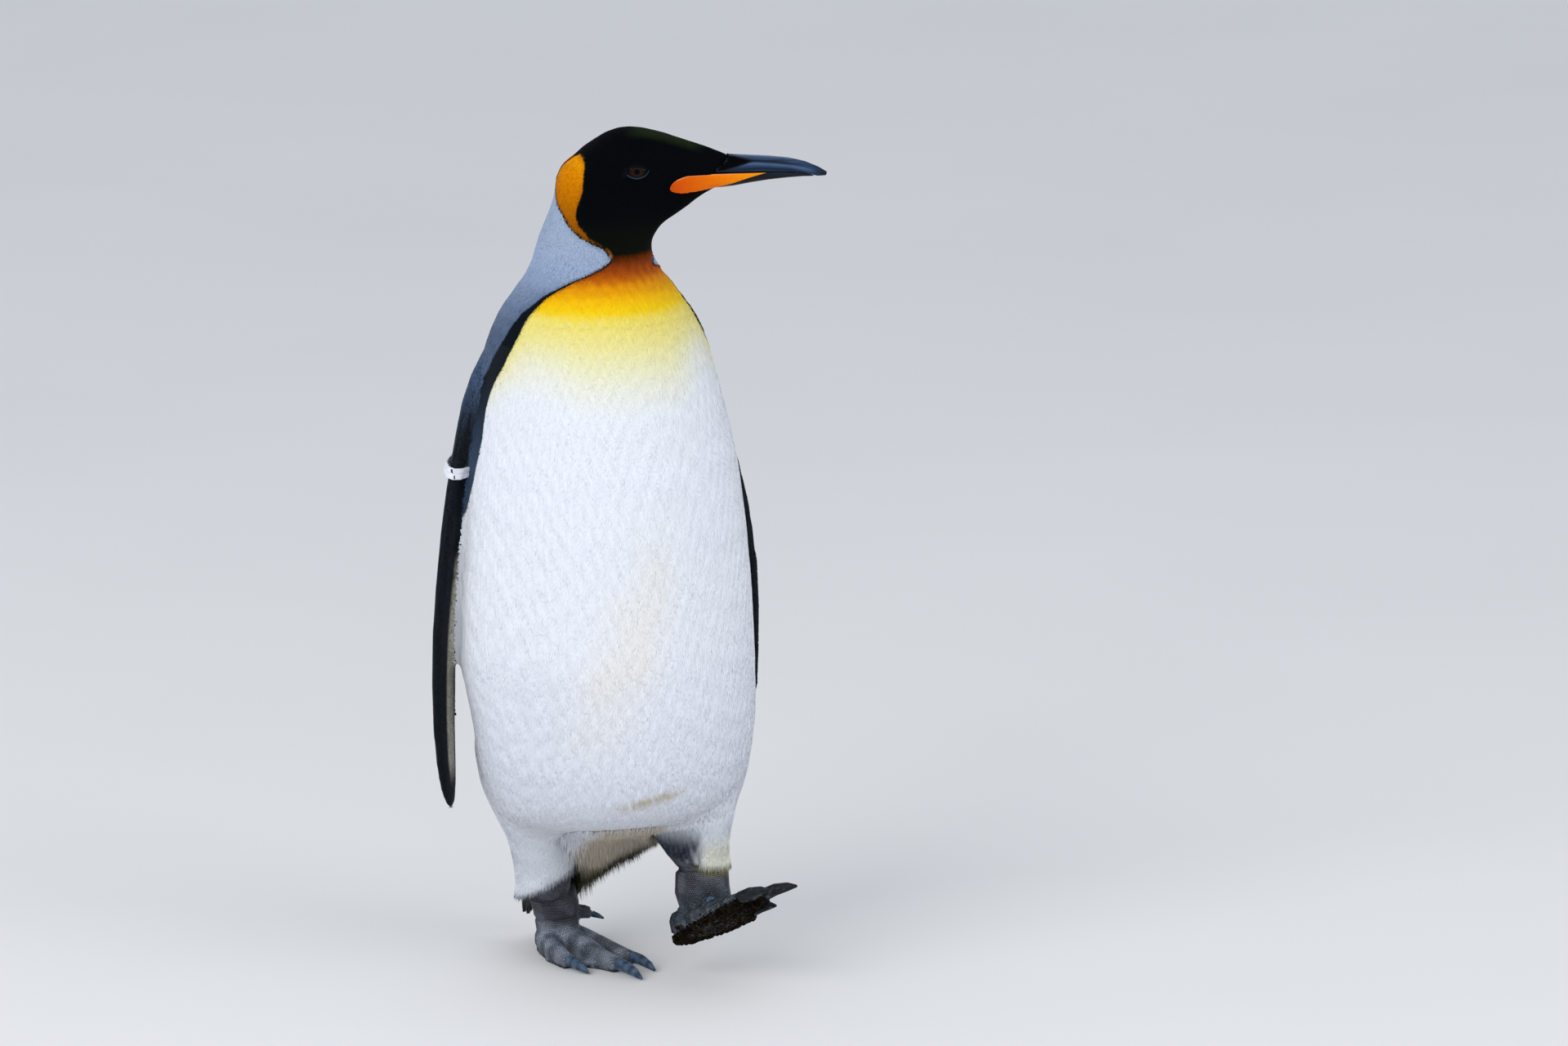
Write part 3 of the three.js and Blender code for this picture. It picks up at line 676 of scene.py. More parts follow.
def body_lie(points):
    """The way the feathers of head, neck and trunk lie, before they are laid on the skin."""
    z = points[:, 2]
    turn, _ = round_body(points)
    made = np.tile([0.0, 0, -1], (len(points), 1))
    # the belly's feathers fan out from its middle, and those under the trunk run back to the tail
    around = np.radians(turn)
    out = np.stack([np.cos(around), np.sin(around), np.zeros(len(points))], 1)
    out = out * np.sin(around)[:, None]
    made += 0.16 * out * (step(-z, -560, -500) * step(-np.abs(turn), -110, -90))[:, None]
    made += np.array([0, 0.9, 0]) * step(-z, -150, -110)[:, None]
    # on the head they run back from the bill, then turn down the nape and the throat
    reach = (points - np.array([*NECK_AXIS, 0])) @ HEAD_AHEAD
    back = step(z, 640, 676) * step(reach, -30, 28)
    swept = -HEAD_AHEAD + np.array([0, 0, -0.35]) * step(-z, -712, -690)[:, None]
    return mix(made, swept, back)


def joined(name, corners, faces, tones, spots):
    """One mesh of many like shapes: their corners in mm, colours and places on the map."""
    count, size = corners.shape[:2]
    corners[..., 2] = corners[..., 2].clip(0)
    wound = (np.arange(count)[:, None, None] * size + np.array(faces)).astype(np.int32).ravel()
    mesh = bpy.data.meshes.new(name)
    mesh.vertices.add(count * size)
    mesh.vertices.foreach_set("co", (corners / 1000).astype(np.float32).ravel())
    mesh.loops.add(len(wound))
    mesh.loops.foreach_set("vertex_index", wound)
    mesh.polygons.add(len(wound) // 3)
    mesh.polygons.foreach_set("loop_start", np.arange(0, len(wound), 3, dtype=np.int32))
    mesh.update(calc_edges=True)
    mark(mesh, tones.reshape(-1, 3))
    layer = mesh.uv_layers.new(name="OFBake")
    layer.data.foreach_set("uv", spots.reshape(-1, 2)[wound].astype(np.float32).ravel())
    made = bpy.data.objects.new(name, mesh)
    bpy.context.collection.objects.link(made)
    return made


def lay_vanes(name, roots, normals, owner, lie, seed, length, width, lift, keel=0.22, split=False,
              stray=5.0, uneven=0.2, speckle=0.04, hang=0.0, root_painted_shade_and_dark_base=0.72, plain=False, unwrap=None):
    """A coat piece, with a feather at each root.

    Lengths are mm, `lift` is the tip's height over the skin, and `stray` is degrees off the lie.
    `hang` is 0 where the feathers are laid on the skin, and 1 where they hang free of it.
    """
    rng = np.random.default_rng(seed)
    count = len(roots)
    hang = (np.ones(count) * hang)[:, None]
    along = unit(lie - normals * (lie * normals).sum(1, keepdims=True) * (1 - hang))
    side = unit(np.cross(normals, along))
    swing = np.radians(stray * (rng.normal(size=count) * 0.7 + wave(roots, 23, 30)))[:, None]
    along = along * np.cos(swing) + side * np.sin(swing)
    side = unit(np.cross(normals, along))
    length = (length * (1 + uneven * rng.uniform(-1, 1, count)))[:, None]
    lift = (lift * np.ones(count))[:, None]
    width = (width * np.ones(count))[:, None]
    free = roots + along * length + normals * lift
    places, faces, _ = nearest(skin_tree, free)
    under = unit(skin_normals[skin_corners[faces]].sum(1))
    above = ((free - places) * under).sum(1)[:, None]
    laid = places + under * lift
    hang = np.where(above > lift * 0.6, hang, 0)
    hang[np.linalg.norm(laid - free, axis=1)[:, None] > 0.5 * length] = 1  # off the skin's edge
    tips = laid + (free - laid) * hang
    middle = roots * 0.45 + tips * 0.55 + normals * lift * 0.34
    half = side * (0.5 * width)
    drop = normals * (keel * width)
    corners = [roots - normals * QUILL_SUNK, middle - half - drop, middle, middle + half - drop]
    if split:
        shorter = along * length * 0.06 * rng.random((count, 1))
        corners += [tips - half * FORK_HALF - shorter, tips + half * FORK_HALF]
    else:
        corners += [tips]
    corners = np.stack(corners, 1)
    size = corners.shape[1]
    if plain:  # one tone all over the feather, its root's
        shown = roots[:, None].repeat(size, 1)
    else:
        shown = corners + (along * rng.normal(size=(count, 1)) * 0.5)[:, None]
    tones = marking(shown.reshape(-1, 3), normals.repeat(size, 0), owner.repeat(size))
    # painted shade, darker at each feather's root and along its edges as where feathers overlap; the speckle
    # is a random tone for each feather
    shade = np.array([root_painted_shade_and_dark_base, *VANE_PAINTED_SHADE])[:size] * (1 + speckle * rng.normal(size=(count, 1)))
    tones = np.clip(tones.reshape(count, size, 3) * shade[..., None], 0, 1)
    spots = (unwrap or around_body)(roots, normals)[:, None] + PATCH_SIZE * np.array(VANE_MAP)[None, :size]
    return joined(name, corners, SPLIT_VANE if split else VANE, tones, spots)


def around_body(points, normals):
    """The skin's unwrap for head, neck, trunk and legs: its turn and its height."""
    turn, _ = round_body(points)
    z = points[:, 2]
    low, high = z.min(), z.max()
    around = MAP_EDGE + MAP_SPAN * (turn + 180) / 360
    return np.stack([around, MAP_EDGE + MAP_SPAN * (z - low) / (high - low)], 1)


def feather(name, roughness, sheen, tint, barbs, gloss):
    """A feather material: keratin, matt, its colour from the marking and clouded by fine barbs."""
    material, tree, shader = new_material(
        name, Roughness=roughness, Sheen_Weight=sheen, Sheen_Tint=paint(tint), Specular_IOR_Level=gloss)
    where = node(tree, "TexCoord").outputs["Object"]
    fine = node(tree, "TexNoise", {"Vector": where, "Scale": 900.0, "Detail": 2.0})
    take_marking(tree, shader, fine.outputs["Fac"], 1 - barbs, 1 + barbs)
    return material


# white and bib feathers are soft and matt; the blue-grey ones of the back are a little waxier
soft_feather = feather("body feathers", 0.8, 0.05, "#ffffff", 0.05, 0.08)
waxy_feather = feather("back feathers", 0.6, 0.06, "#c4cfe0", 0.12, 0.2)
hood_feather = feather("hood feathers", 0.6, 0.0, "#5c6a4a", 0.2, 0.02)
flipper_feather = feather("flipper feathers", 0.5, 0.04, "#a9bbd6", 0.15, 0.08)

turn_of, radius_of = pattern_turn(middles)
height = middles[:, 2]
TRUNK_END = 84  # mm, above the tail's root
trunk = of_nodes(skin_owner, "head", "neck", "trunk") & (height > TRUNK_END)


PINCH_BELOW, PINCH_OUT = 500, 70  # mm, where a flipper can touch the trunk


def pinched(tree, roots, length):
    """The feathers' length, less where a flipper and the trunk touch below the shoulder."""
    near = np.flatnonzero((roots[:, 2] < PINCH_BELOW) & (np.abs(roots[:, 0]) > PINCH_OUT))
    length = length * np.ones(len(roots))
    length[near] = np.minimum(length[near], 1.2 + 0.8 * nearest(tree, roots[near])[2])
    return length


behind_line = past(LINE_FROM, height, turn_of, radius_of)
behind_grey = past(GREY_FROM, height, turn_of, radius_of)
behind_patch = past(PATCH_REAR, height, turn_of, radius_of)
grey_side = behind_grey > 0
BELLY_END, THROAT = 112, 626  # mm, where the white coat ends below and the hood begins
NAPE = (640, 690)  # mm, the grey down the back of the neck
belly = trunk & ~grey_side & (height > BELLY_END) & (height <= THROAT)
back = trunk & np.where(height < THROAT, grey_side, (behind_patch > 0) & (height < NAPE[0]))
nape = trunk & (height >= NAPE[0]) & (behind_patch > 0) & (height < NAPE[1])


# the feathers' edge round each eye: its middle's reach and height, and its half length and height
RIM_AT = (36.4, 697)
RIM_HALF = (11.2, 4.9)


def eye_gap(points):
    """How far, in mm, a point is outside the feathers' edge round the nearer eye."""
    own = points - np.array([*NECK_AXIS, RIM_AT[1]])
    ahead, out = own @ HEAD_AHEAD - RIM_AT[0], np.abs(own @ HEAD_LEFT)
    beside = np.hypot(ahead / RIM_HALF[0], (own[:, 2] + 0.7) / RIM_HALF[1]) - 1
    return np.where(out > 12, beside, 1) * 6


face = trunk & (height > THROAT) & ~nape & ~back & (eye_gap(middles) > 0)
# the black line past the bib, and the one behind the ear patch
low_line = (behind_line > -0.3) & (behind_grey < 0.2) & (height > 556) & (height < THROAT)
high_line = (behind_patch > -1.0) & (behind_patch < 0.4) & (height > 632) & (height < NAPE[1])
line = trunk & (low_line | high_line)

# how each plumage is laid, by height: length, width and lift in mm, and feathers per mm2
WHITE = dict(length=[(112, 13), (300, 12), (480, 10), (550, 7.5), (626, 4.5)],
             width=[(112, 1.95), (480, 1.8), (626, 1.45)],
             lift=[(112, 0.9), (300, 0.7), (480, 0.55), (560, 0.4), (626, 0.3)],
             dense=[(112, 0.6), (300, 0.6), (480, 0.8), (550, 1.05), (626, 1.7)])
GREY = dict(length=[(85, 9.5), (400, 8.5), (560, 6), (640, 4.2)],
            width=[(85, 2.6), (400, 2.4), (560, 1.9), (640, 1.5)],
            lift=[(85, 1.3), (400, 1.0), (560, 0.65), (640, 0.34)],
            dense=[(85, 0.42), (400, 0.48), (560, 0.75), (640, 1.6)])
HOOD = dict(length=[(626, 4.2), (732, 3.6)], width=[(626, 1.4), (732, 1.3)],
            lift=[(626, 0.36), (732, 0.32)], dense=[(626, 1.6), (732, 1.5)])
LINE = dict(length=[(560, 2.6), (690, 1.8)], width=[(560, 0.9), (690, 0.7)],
            lift=[(560, 1.1), (626, 0.85), (690, 0.75)], dense=[(560, 5), (690, 6)])
# how they stray, and how much shade is painted at their roots and edges: furry on the white, in rows on the
# grey, sleek on the head; on the grey the darker roots are also the feathers' own dark bases
fur = dict(keel=0.1, split=True, stray=6, speckle=0.015, root_painted_shade_and_dark_base=0.98)
rows = dict(stray=4, speckle=0.1, root_painted_shade_and_dark_base=0.65)
short_rows = dict(stray=4, speckle=0.07, root_painted_shade_and_dark_base=0.85)
sleek = dict(keel=0.12, stray=4, speckle=0.06, root_painted_shade_and_dark_base=0.95)
fine_line = dict(keel=0.1, stray=3, speckle=0.05, root_painted_shade_and_dark_base=1.0, plain=True)
LOW, MID, HIGH, BACK_MID = 230, 350, 470, 420  # mm, where one piece of coat gives way to the next
COAT = [
    ("coat_belly_low", belly & (height <= LOW), WHITE, soft_feather, "body_feathers", fur),
    ("coat_belly_mid", belly & (height > LOW) & (height <= MID), WHITE, soft_feather, "body_feathers", fur),
    ("coat_belly_high", belly & (height > MID) & (height <= HIGH), WHITE, soft_feather, "body_feathers", fur),
    ("coat_breast", belly & (height > HIGH), WHITE, soft_feather, "neck_feathers", fur),
    ("coat_back_low", back & (height <= BACK_MID), GREY, waxy_feather, "body_feathers", rows),
    ("coat_back_high", back & (height > BACK_MID), GREY, waxy_feather, "body_feathers", rows),
    ("coat_nape", nape, GREY, waxy_feather, "neck_feathers", short_rows),
    ("coat_head", face, HOOD, hood_feather, "head_feathers", sleek),
    ("coat_line", line, LINE, hood_feather, "neck_feathers", fine_line),
]
for seed, (name, mask, plumage, material, slot, laid) in enumerate(COAT, 11):
    roots, normals, owner = sow(mask, table(plumage["dense"], height), seed)
    length, width, lift = (table(plumage[key], roots[:, 2]) for key in ("length", "width", "lift"))
    clumps = 1 + 0.22 * wave(roots * np.array([1, 1, 0.35]), 7, 24)
    lift = lift * clumps.clip(0.5, 1.6)
    # shorter at the sharp edges of the pattern and round the eyes
    length = np.minimum(length, 1.4 + 0.8 * border_gap(roots))
    length = np.minimum(length, 1.7 + 0.6 * np.maximum(eye_gap(roots), 0))
    length = pinched(flipper_tree, roots, length)
    piece = lay_vanes(name, roots, normals, owner, body_lie(roots), seed,
                      length=length, width=width, lift=lift, **laid)
    piece.data.materials.append(material)
    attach(piece, "root")

# the legs' feathers hang free at the hem, where they end raggedly over the bare shank
for seed, side in enumerate(("right", "left"), 31):
    over = middles[:, 2] - hem_height(middles, side)
    thigh = of_nodes(skin_owner, f"thigh_{side}") & (over > 1)
    roots, normals, owner = sow(thigh, 1.6 - 0.65 * step(over, 12, 34), seed)
    over = roots[:, 2] - hem_height(roots, side)
    # on the inside of the raised leg they are short and scale-like
    inner = (side == "left") & (roots[:, 0] < 58) & (roots[:, 2] < 135)
    loose = step(-over, -30, -5) * ~inner
    # the coat swells towards the hem, and its last tufts curl in under it
    flare = 0.16 * step(over, 2, 9) * step(-over, -24, -10) - 0.2 * step(-over, -6, -1)
    lie = np.tile([0.0, 0.06, -1], (len(roots), 1)) + normals * (flare * loose)[:, None]
    length = np.where(inner, 4.5, np.clip(over + 4, 6, 13))
    width = 1.0 + 0.4 * step(over, 10, 40)
    lift = np.where(inner, 0.5, 1.3 + 1.0 * step(-over, -60, -14))
    piece = lay_vanes(f"coat_thigh_{side}", roots, normals, owner, lie, seed,
                      length=length, width=width, lift=lift, split=True, stray=10, uneven=0.3,
                      speckle=0.02, hang=loose, root_painted_shade_and_dark_base=0.99)
    piece.data.materials.append(soft_feather)
    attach(piece, "root")

# loose down hangs under the trunk, between the legs and over the root of the tail
VENT_X = 8  # its middle
VENT_LONG = [(-65, 7), (-40, 11), (0, 14), (40, 17), (70, 27)]  # its length, from front to back
between = (np.abs(middles[:, 0] - VENT_X) < 52) & (middles[:, 1] > -70) & (height < 140)
roots, normals, owner = sow(trunk & between, 1.25, 35)
x, y = roots[:, 0], roots[:, 1]
length = table(VENT_LONG, y) * step(-np.abs(x - VENT_X), -62, -40).clip(0.4)
length = length * (1 + 0.4 * np.exp(-((x + 6) / 13) ** 2) * step(y, -30, 10))
lie = np.array([0.0, 0, -1]) + normals * 0.2 + np.array([0.0, 0.8, 0]) * step(-y, 0, 40)[:, None]
piece = lay_vanes("coat_vent", roots, normals, owner, lie, 35, length=length, width=0.95, lift=0.4,
                  split=True, stray=11, uneven=0.4, speckle=0.06, hang=1.0, root_painted_shade_and_dark_base=1.0)
piece.data.materials.append(soft_feather)
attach(piece, "root")

# scale-like feathers on the flippers, in close rows down to the tip
FLIPPER_END, FLIPPER_LONG = 140, 430  # mm, below its tip, and up from there past its shoulder
for seed, side in enumerate(("right", "left"), 41):
    roots, normals, owner = sow(of_nodes(skin_owner, f"flipper_{side}"), 0.75, seed)
    across, way = on_flipper(roots, side)
    lie = np.array([0.0, 0, -1]) + way * (0.12 + 0.5 * step(across, 0.75, 1.0))[:, None]

    def over_blade(points, normals, side=side):
        """The flipper's unwrap: across the blade and down it, its inner face beside its outer one."""
        part, _ = on_flipper(points, side)
        beside = np.where(normals[:, 0] * (-1 if side == "right" else 1) < 0, 0.5, 0.0)
        down = MAP_EDGE + MAP_SPAN * (points[:, 2] - FLIPPER_END) / FLIPPER_LONG
        return np.stack([MAP_EDGE + 0.46 * part.clip(0, 1) + beside, down], 1)

    piece = lay_vanes(f"coat_flipper_{side}", roots, normals, owner, lie, seed,
                      length=pinched(trunk_tree, roots, 3.6), width=1.75, lift=0.5, keel=0.1, stray=4,
                      speckle=0.24, root_painted_shade_and_dark_base=0.75, unwrap=over_blade)
    piece.data.materials.append(flipper_feather)
    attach(piece, "root")

# --- Foot scales ---------------------------------------------------------------------------------
# The bare shanks are covered in rows of small raised scales, like a fine net, and the tops of the
# toes in scales of the same size. Each is a low six-sided dome of horn set into the skin.
DOME = [(0, 1 + i, 1 + (i + 1) % 6) for i in range(6)]
# each scale is painted lighter on its top and darker round its rim, a painted highlight and painted shade as
# on a lit dome; the soil's crumbs too
DOME_PAINTED_LIGHT = [1.25] + [0.5] * 6  # of its top and its rim
SCALE_SIZE = 1.75
SCALE_GAPS = (1.7, 1.5)  # mm between the toes' scales, across and along
# the middle line of each shank, from its hem to its ankle
SHANKS = {"right": ((-38, 57, 84), (-26, 60, 18)), "left": ((66, -52.5, 116), (68, -61, 50))}
scale_horn, tree, shader = new_material("foot scale horn", Roughness=0.5, Specular_IOR_Level=0.4)
where = node(tree, "TexCoord").outputs["Object"]
grit = node(tree, "TexNoise", {"Vector": where, "Scale": 1300.0, "Detail": 2.0})
take_marking(tree, shader, grit.outputs["Fac"], 0.7, 1.3)
# damp dark soil, matt and crumbly
damp_soil, tree, shader = new_material("damp soil", Roughness=0.95, Specular_IOR_Level=0.03)
where = node(tree, "TexCoord").outputs["Object"]
grit = node(tree, "TexNoise", {"Vector": where, "Scale": 1900.0, "Detail": 3.0})
take_marking(tree, shader, grit.outputs["Fac"], relief=(0.0008, 0.8))


def lay_scales(name, seed, starts, ways, size, spots, high=0.4, soil=False):
    """Scales, or crumbs of soil, where rays from `starts` along `ways` meet the skin."""
    furthest, ragged = (34, 0.12) if soil else (65, 0.05)
    hits = [skin_tree.ray_cast(start, way, 70) for start, way in zip(starts.tolist(), ways.tolist())]
    kept = np.array([hit[2] is not None and hit[3] < furthest for hit in hits])
    places = np.array([hit[0] for hit, keep in zip(hits, kept) if keep])
    faces = np.array([hit[2] for hit, keep in zip(hits, kept) if keep])
    normals = unit(skin_normals[skin_corners[faces]].sum(1))
    count = len(places)
    rng = np.random.default_rng(seed)
    down = np.array([0.0, 0.2, -1])
    along = unit(down - normals * (normals @ down)[:, None])
    side = np.cross(normals, along)
    size, high = ((value * np.ones(len(kept)))[kept][:, None] for value in (size, high))
    corners = [places + normals * high]
    ring = []
    for angle in np.radians(np.arange(30, 390, 60)):
        reach = size * (0.56 + ragged * rng.normal(size=(count, 1)))
        way = side * np.cos(angle) * 1.12 + along * np.sin(angle) * 0.9
        corners.append(places + way * reach - normals * 0.12)
        ring.append((0.5 + 0.5 * np.cos(angle), 0.5 + 0.5 * np.sin(angle)))
    tone = marking(places, normals, owner_of(places))
    tone = tone * (1.35 + 0.25 * rng.normal(size=(count, 1))).clip(0.7, 2.2)
    if soil:
        tone = mix(linear("#080604"), linear("#2a2115"), rng.random(count) ** 2)
    # painted light and shade: the top lighter and the rim darker
    tones = tone[:, None] * np.array(DOME_PAINTED_LIGHT)[None, :, None]
    patch = spots[kept][:, None] + PATCH_SIZE * np.array([(0.5, 0.5), *ring])[None]
    piece = joined(name, np.stack(corners, 1), DOME, tones.clip(0, 1), patch)
    piece.data.materials.append(damp_soil if soil else scale_horn)
    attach(piece, "root")


SHANK_ROWS, SHANK_COLUMNS = 42, 74
for seed, side in enumerate(("right", "left"), 61):
    high, low = (np.array(each, float) for each in SHANKS[side])
    down, around = np.meshgrid(np.arange(SHANK_ROWS), np.arange(SHANK_COLUMNS), indexing="ij")
    around = (around + 0.5 * (down % 2)).ravel() / SHANK_COLUMNS
    down = down.ravel() / (SHANK_ROWS - 1)
    around = around + 0.004 * wave(np.stack([300 * around, 100 * down, 0 * down], 1), 40, seed)
    starts = high + (low - high) * down[:, None]
    ways = np.stack([np.cos(2 * np.pi * around), np.sin(2 * np.pi * around), 0 * around], 1)
    spots = np.stack([0.98 * around, 0.98 * down], 1)
    lay_scales(f"scales_shank_{side}", seed, starts, ways, SCALE_SIZE, spots)
    # the toes' scales are set from above the foot, in staggered rows
    place, axes = foot_axes(side)
    wide, long = np.arange(-32, 32, SCALE_GAPS[0]), np.arange(-92, 20, SCALE_GAPS[1])
    across, back = np.meshgrid(wide, long, indexing="ij")
    across = across + SCALE_GAPS[0] / 2 * (np.arange(len(long)) % 2)
    own = np.stack([across.ravel(), back.ravel(), np.full(across.size, 30.0)], 1)
    spots = np.stack([(own[:, 0] + 33) / 68, (own[:, 1] + 93) / 116], 1) * 0.98
    starts = place + own @ axes.T
    ways = np.tile(-axes[:, 2], (len(own), 1))
    lay_scales(f"scales_foot_{side}", seed + 10, starts, ways, SCALE_SIZE, spots)

# the raised foot has come out of wet ground, which cakes its sole and the rim round it
CRUMBS, RIM_CRUMBS = 4200, 1300
rng = np.random.default_rng(81)
under = np.stack([rng.uniform(-40, 40, CRUMBS), rng.uniform(-100, 25, CRUMBS), np.full(CRUMBS, -25.0)], 1)
turn = rng.uniform(0, 2 * np.pi, RIM_CRUMBS)
rim = np.stack([45 * np.cos(turn), 62 * np.sin(turn) - 36, rng.uniform(0.2, 4.5, RIM_CRUMBS)], 1)
inwards = np.stack([-np.cos(turn), -np.sin(turn), 0 * turn], 1)
starts = place + np.vstack([under, rim]) @ axes.T
ways = np.vstack([np.tile(axes[:, 2], (len(under), 1)), inwards @ axes.T])
spots = rng.random((len(starts), 2)) * 0.98
lump = rng.random(len(starts)) ** 2
high = 0.3 + 1.3 * lump * rng.random(len(starts))
lay_scales("soil_on_sole", 82, starts, ways, 1.2 + 3.0 * lump, spots, high=high, soil=True)

# --- Bill ----------------------------------------------------------------------------------------
# Two long halves of blue-black horn with a groove along each side of the upper one, and on the
# lower one a pair of smooth orange plates. Horn grows in layers, so it is polished along its length.
def on_head(points):
    own = points - np.array([*NECK_AXIS, 0])
    return own @ HEAD_AHEAD, own @ HEAD_LEFT, points[:, 2]


def refine(name, nodes, grain, rounds):
    """A closer, smoother copy of CAD nodes, which it replaces."""
    made = copy_of(name, nodes)
    fuse(made, grain, rounds)
    made.data.shade_smooth()
    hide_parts(*nodes)
    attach(made, "root")
    return made


# heights by reach: the tip of the feathers' wedge, two grooves darkened with painted shade, and the pale
# ridge between them
WEDGE = [(104, 701.8), (112, 701), (136, 702)]
WEDGE_HALF = [(104, 7.5), (112, 6.2), (120, 4.2), (128, 2.2), (137, -0.3)]
GROOVE = [(110, 702), (135, 702), (155, 700.6), (171, 698.4), (189, 694)]
RIDGE = [(104, 695), (110, 697.2), (120, 699.4), (137, 699.9), (166, 697.8), (183, 693.6), (192, 691.4)]
FOLD = [(104, 693.6), (143, 695.6), (166, 694), (183, 691.4)]
CULMEN = [(104, 708.5), (124, 707.2), (140, 706.4), (160, 704.9), (175, 701.9), (188, 696.9), (199, 690)]
bill_horn, tree, shader = new_material(
    "polished bill horn", Roughness=0.34, Coat_Weight=0.04, Coat_Roughness=0.15, Specular_IOR_Level=0.16)
where = node(tree, "TexCoord").outputs["Object"]
turned = node(tree, "Mapping", {"Vector": where, "Rotation": (0, 0, np.radians(HEAD_TURN - 90)),
                                "Scale": (1 / 60, 1 / 900, 1 / 900)}, vector_type="TEXTURE")
layers = node(tree, "TexNoise", {"Vector": turned.outputs["Vector"], "Scale": 1.0, "Detail": 3.0})
take_marking(tree, shader, layers.outputs["Fac"], 0.6, 1.4, relief=(0.0003, 0.35))
for name, grain in (("bill_upper", 0.52), ("bill_lower", 0.65)):
    half = refine(f"{name}_horn", [name], grain, 12)
    points, normals, _ = arrays_of(half.data)
    reach, out, z = on_head(points)
    if name == "bill_upper":
        beside = step(np.abs(out), 0.8, 2.4) * step(reach, 100, 108)
        groove = np.exp(-((z - table(GROOVE, reach)) / 1.1) ** 2) * beside * step(-reach, -186, -160)
        fold = np.exp(-((z - table(FOLD, reach)) / 0.9) ** 2) * beside * step(-reach, -186, -165)
        ridge = np.exp(-((z - table(RIDGE, reach)) / 1.7) ** 2) * beside * step(-reach, -192, -176)
        points = points - normals * (0.7 * groove + 0.5 * fold - 0.45 * ridge)[:, None]
        tones = mix(np.tile(linear("#172b45"), (len(z), 1)), linear("#40597d"), 0.9 * ridge)
        # a painted reflection of the sky makes it paler towards its crest, with a painted highlight along the
        # crest itself
        crest = z - table(CULMEN, reach)
        crest_reflection = step(crest, -4.5, -1.5) * step(-reach, -190, -165) * step(reach, 113, 121)
        crest_highlight = step(crest, -1.5, 0.2) * step(-reach, -180, -150) * step(reach, 116, 126)
        tones = mix(mix(tones, linear("#33455f"), crest_reflection), linear("#8088a0"), crest_highlight)
        # painted shade: the bottoms of both grooves are darkened
        tones = mix(tones, linear("#050a12"), np.maximum(0.9 * groove, 0.8 * fold))
        in_wedge = table(WEDGE_HALF, reach) - np.abs(z - table(WEDGE, reach))
        tones = mix(tones, linear("#030508"), step(in_wedge, -1.3, 0.3))
        set_points(half.data, points)
    else:
        bluer = step(z, 687.5, 691.5) * step(reach, 140, 156)
        tones = mix(np.tile(linear("#04070c"), (len(z), 1)), linear("#0c1829"), bluer)
    tones = mix(tones, linear("#0a1626"), step(reach, 186, 196))
    mark(half.data, tones)
    half.data.materials.append(bill_horn)
    if name == "bill_upper":
        # the face's feathers close round its base, and run out along the groove to a point
        surface = arrays_of(half.data)
        reach, _, z = on_head(surface[0][surface[2]].mean(1))
        wedge = np.abs(z - table(WEDGE, reach)) < table(WEDGE_HALF, reach) - 0.6
        roots, normals, _ = spread(surface, wedge & (reach > 100), 4.0, 91)
        owner = np.full(len(roots), OWNERS.index("head"))
        lie = np.tile(-HEAD_AHEAD, (len(roots), 1))
        piece = lay_vanes("coat_lores", roots, normals, owner, lie, 91, length=2.6, width=0.9,
                          lift=0.25, keel=0.1, stray=3, root_painted_shade_and_dark_base=1.0)
        piece.data.materials.append(hood_feather)
        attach(piece, "root")

# the plates are softer horn, brightest in the middle, with a paler rim
plate_horn, tree, shader = new_material(
    "orange plate horn", Roughness=0.4, Coat_Weight=0.02, Specular_IOR_Level=0.06)
where = node(tree, "TexCoord").outputs["Object"]
cloud = node(tree, "TexNoise", {"Vector": where, "Scale": 260.0, "Detail": 3.0})
take_marking(tree, shader, cloud.outputs["Fac"], 0.88, 1.12)
PLATE_TOP = [(64, 681), (68, 687.5), (80, 691.6), (148, 692.3)]
PLATE_BASE = [(64, 681), (70, 676.6), (80, 676), (98, 677.6), (118, 683), (132, 687.5), (148, 692.3)]
PLATE_TONES = [(62, "#b84000"), (75, "#cc5200"), (100, "#e06c00"), (125, "#ea8404"), (146, "#e8920c")]
for side in ("right", "left"):
    plate = refine(f"plate_{side}", [f"bill_plate_{side}"], 0.6, 6)
    points, normals, _ = arrays_of(plate.data)
    reach, out, z = on_head(points)
    top, base = table(PLATE_TOP, reach), table(PLATE_BASE, reach)
    inside = np.minimum(np.minimum(top - z, z - base), reach - 64)
    rim = 0.7 * step(-inside, -1.4, -0.2) * step(z, 684, 688) * step(-reach, -132, -112)
    tones = mix(colours(PLATE_TONES, reach), linear("#dd9058"), rim)
    outer = normals @ HEAD_LEFT * (-1 if side == "right" else 1)
    swell = 0.35 * step(inside, 0, 5) * step(outer, 0, 0.5)
    set_points(plate.data, points + normals * swell[:, None])
    mark(plate.data, tones)
    plate.data.materials.append(plate_horn)

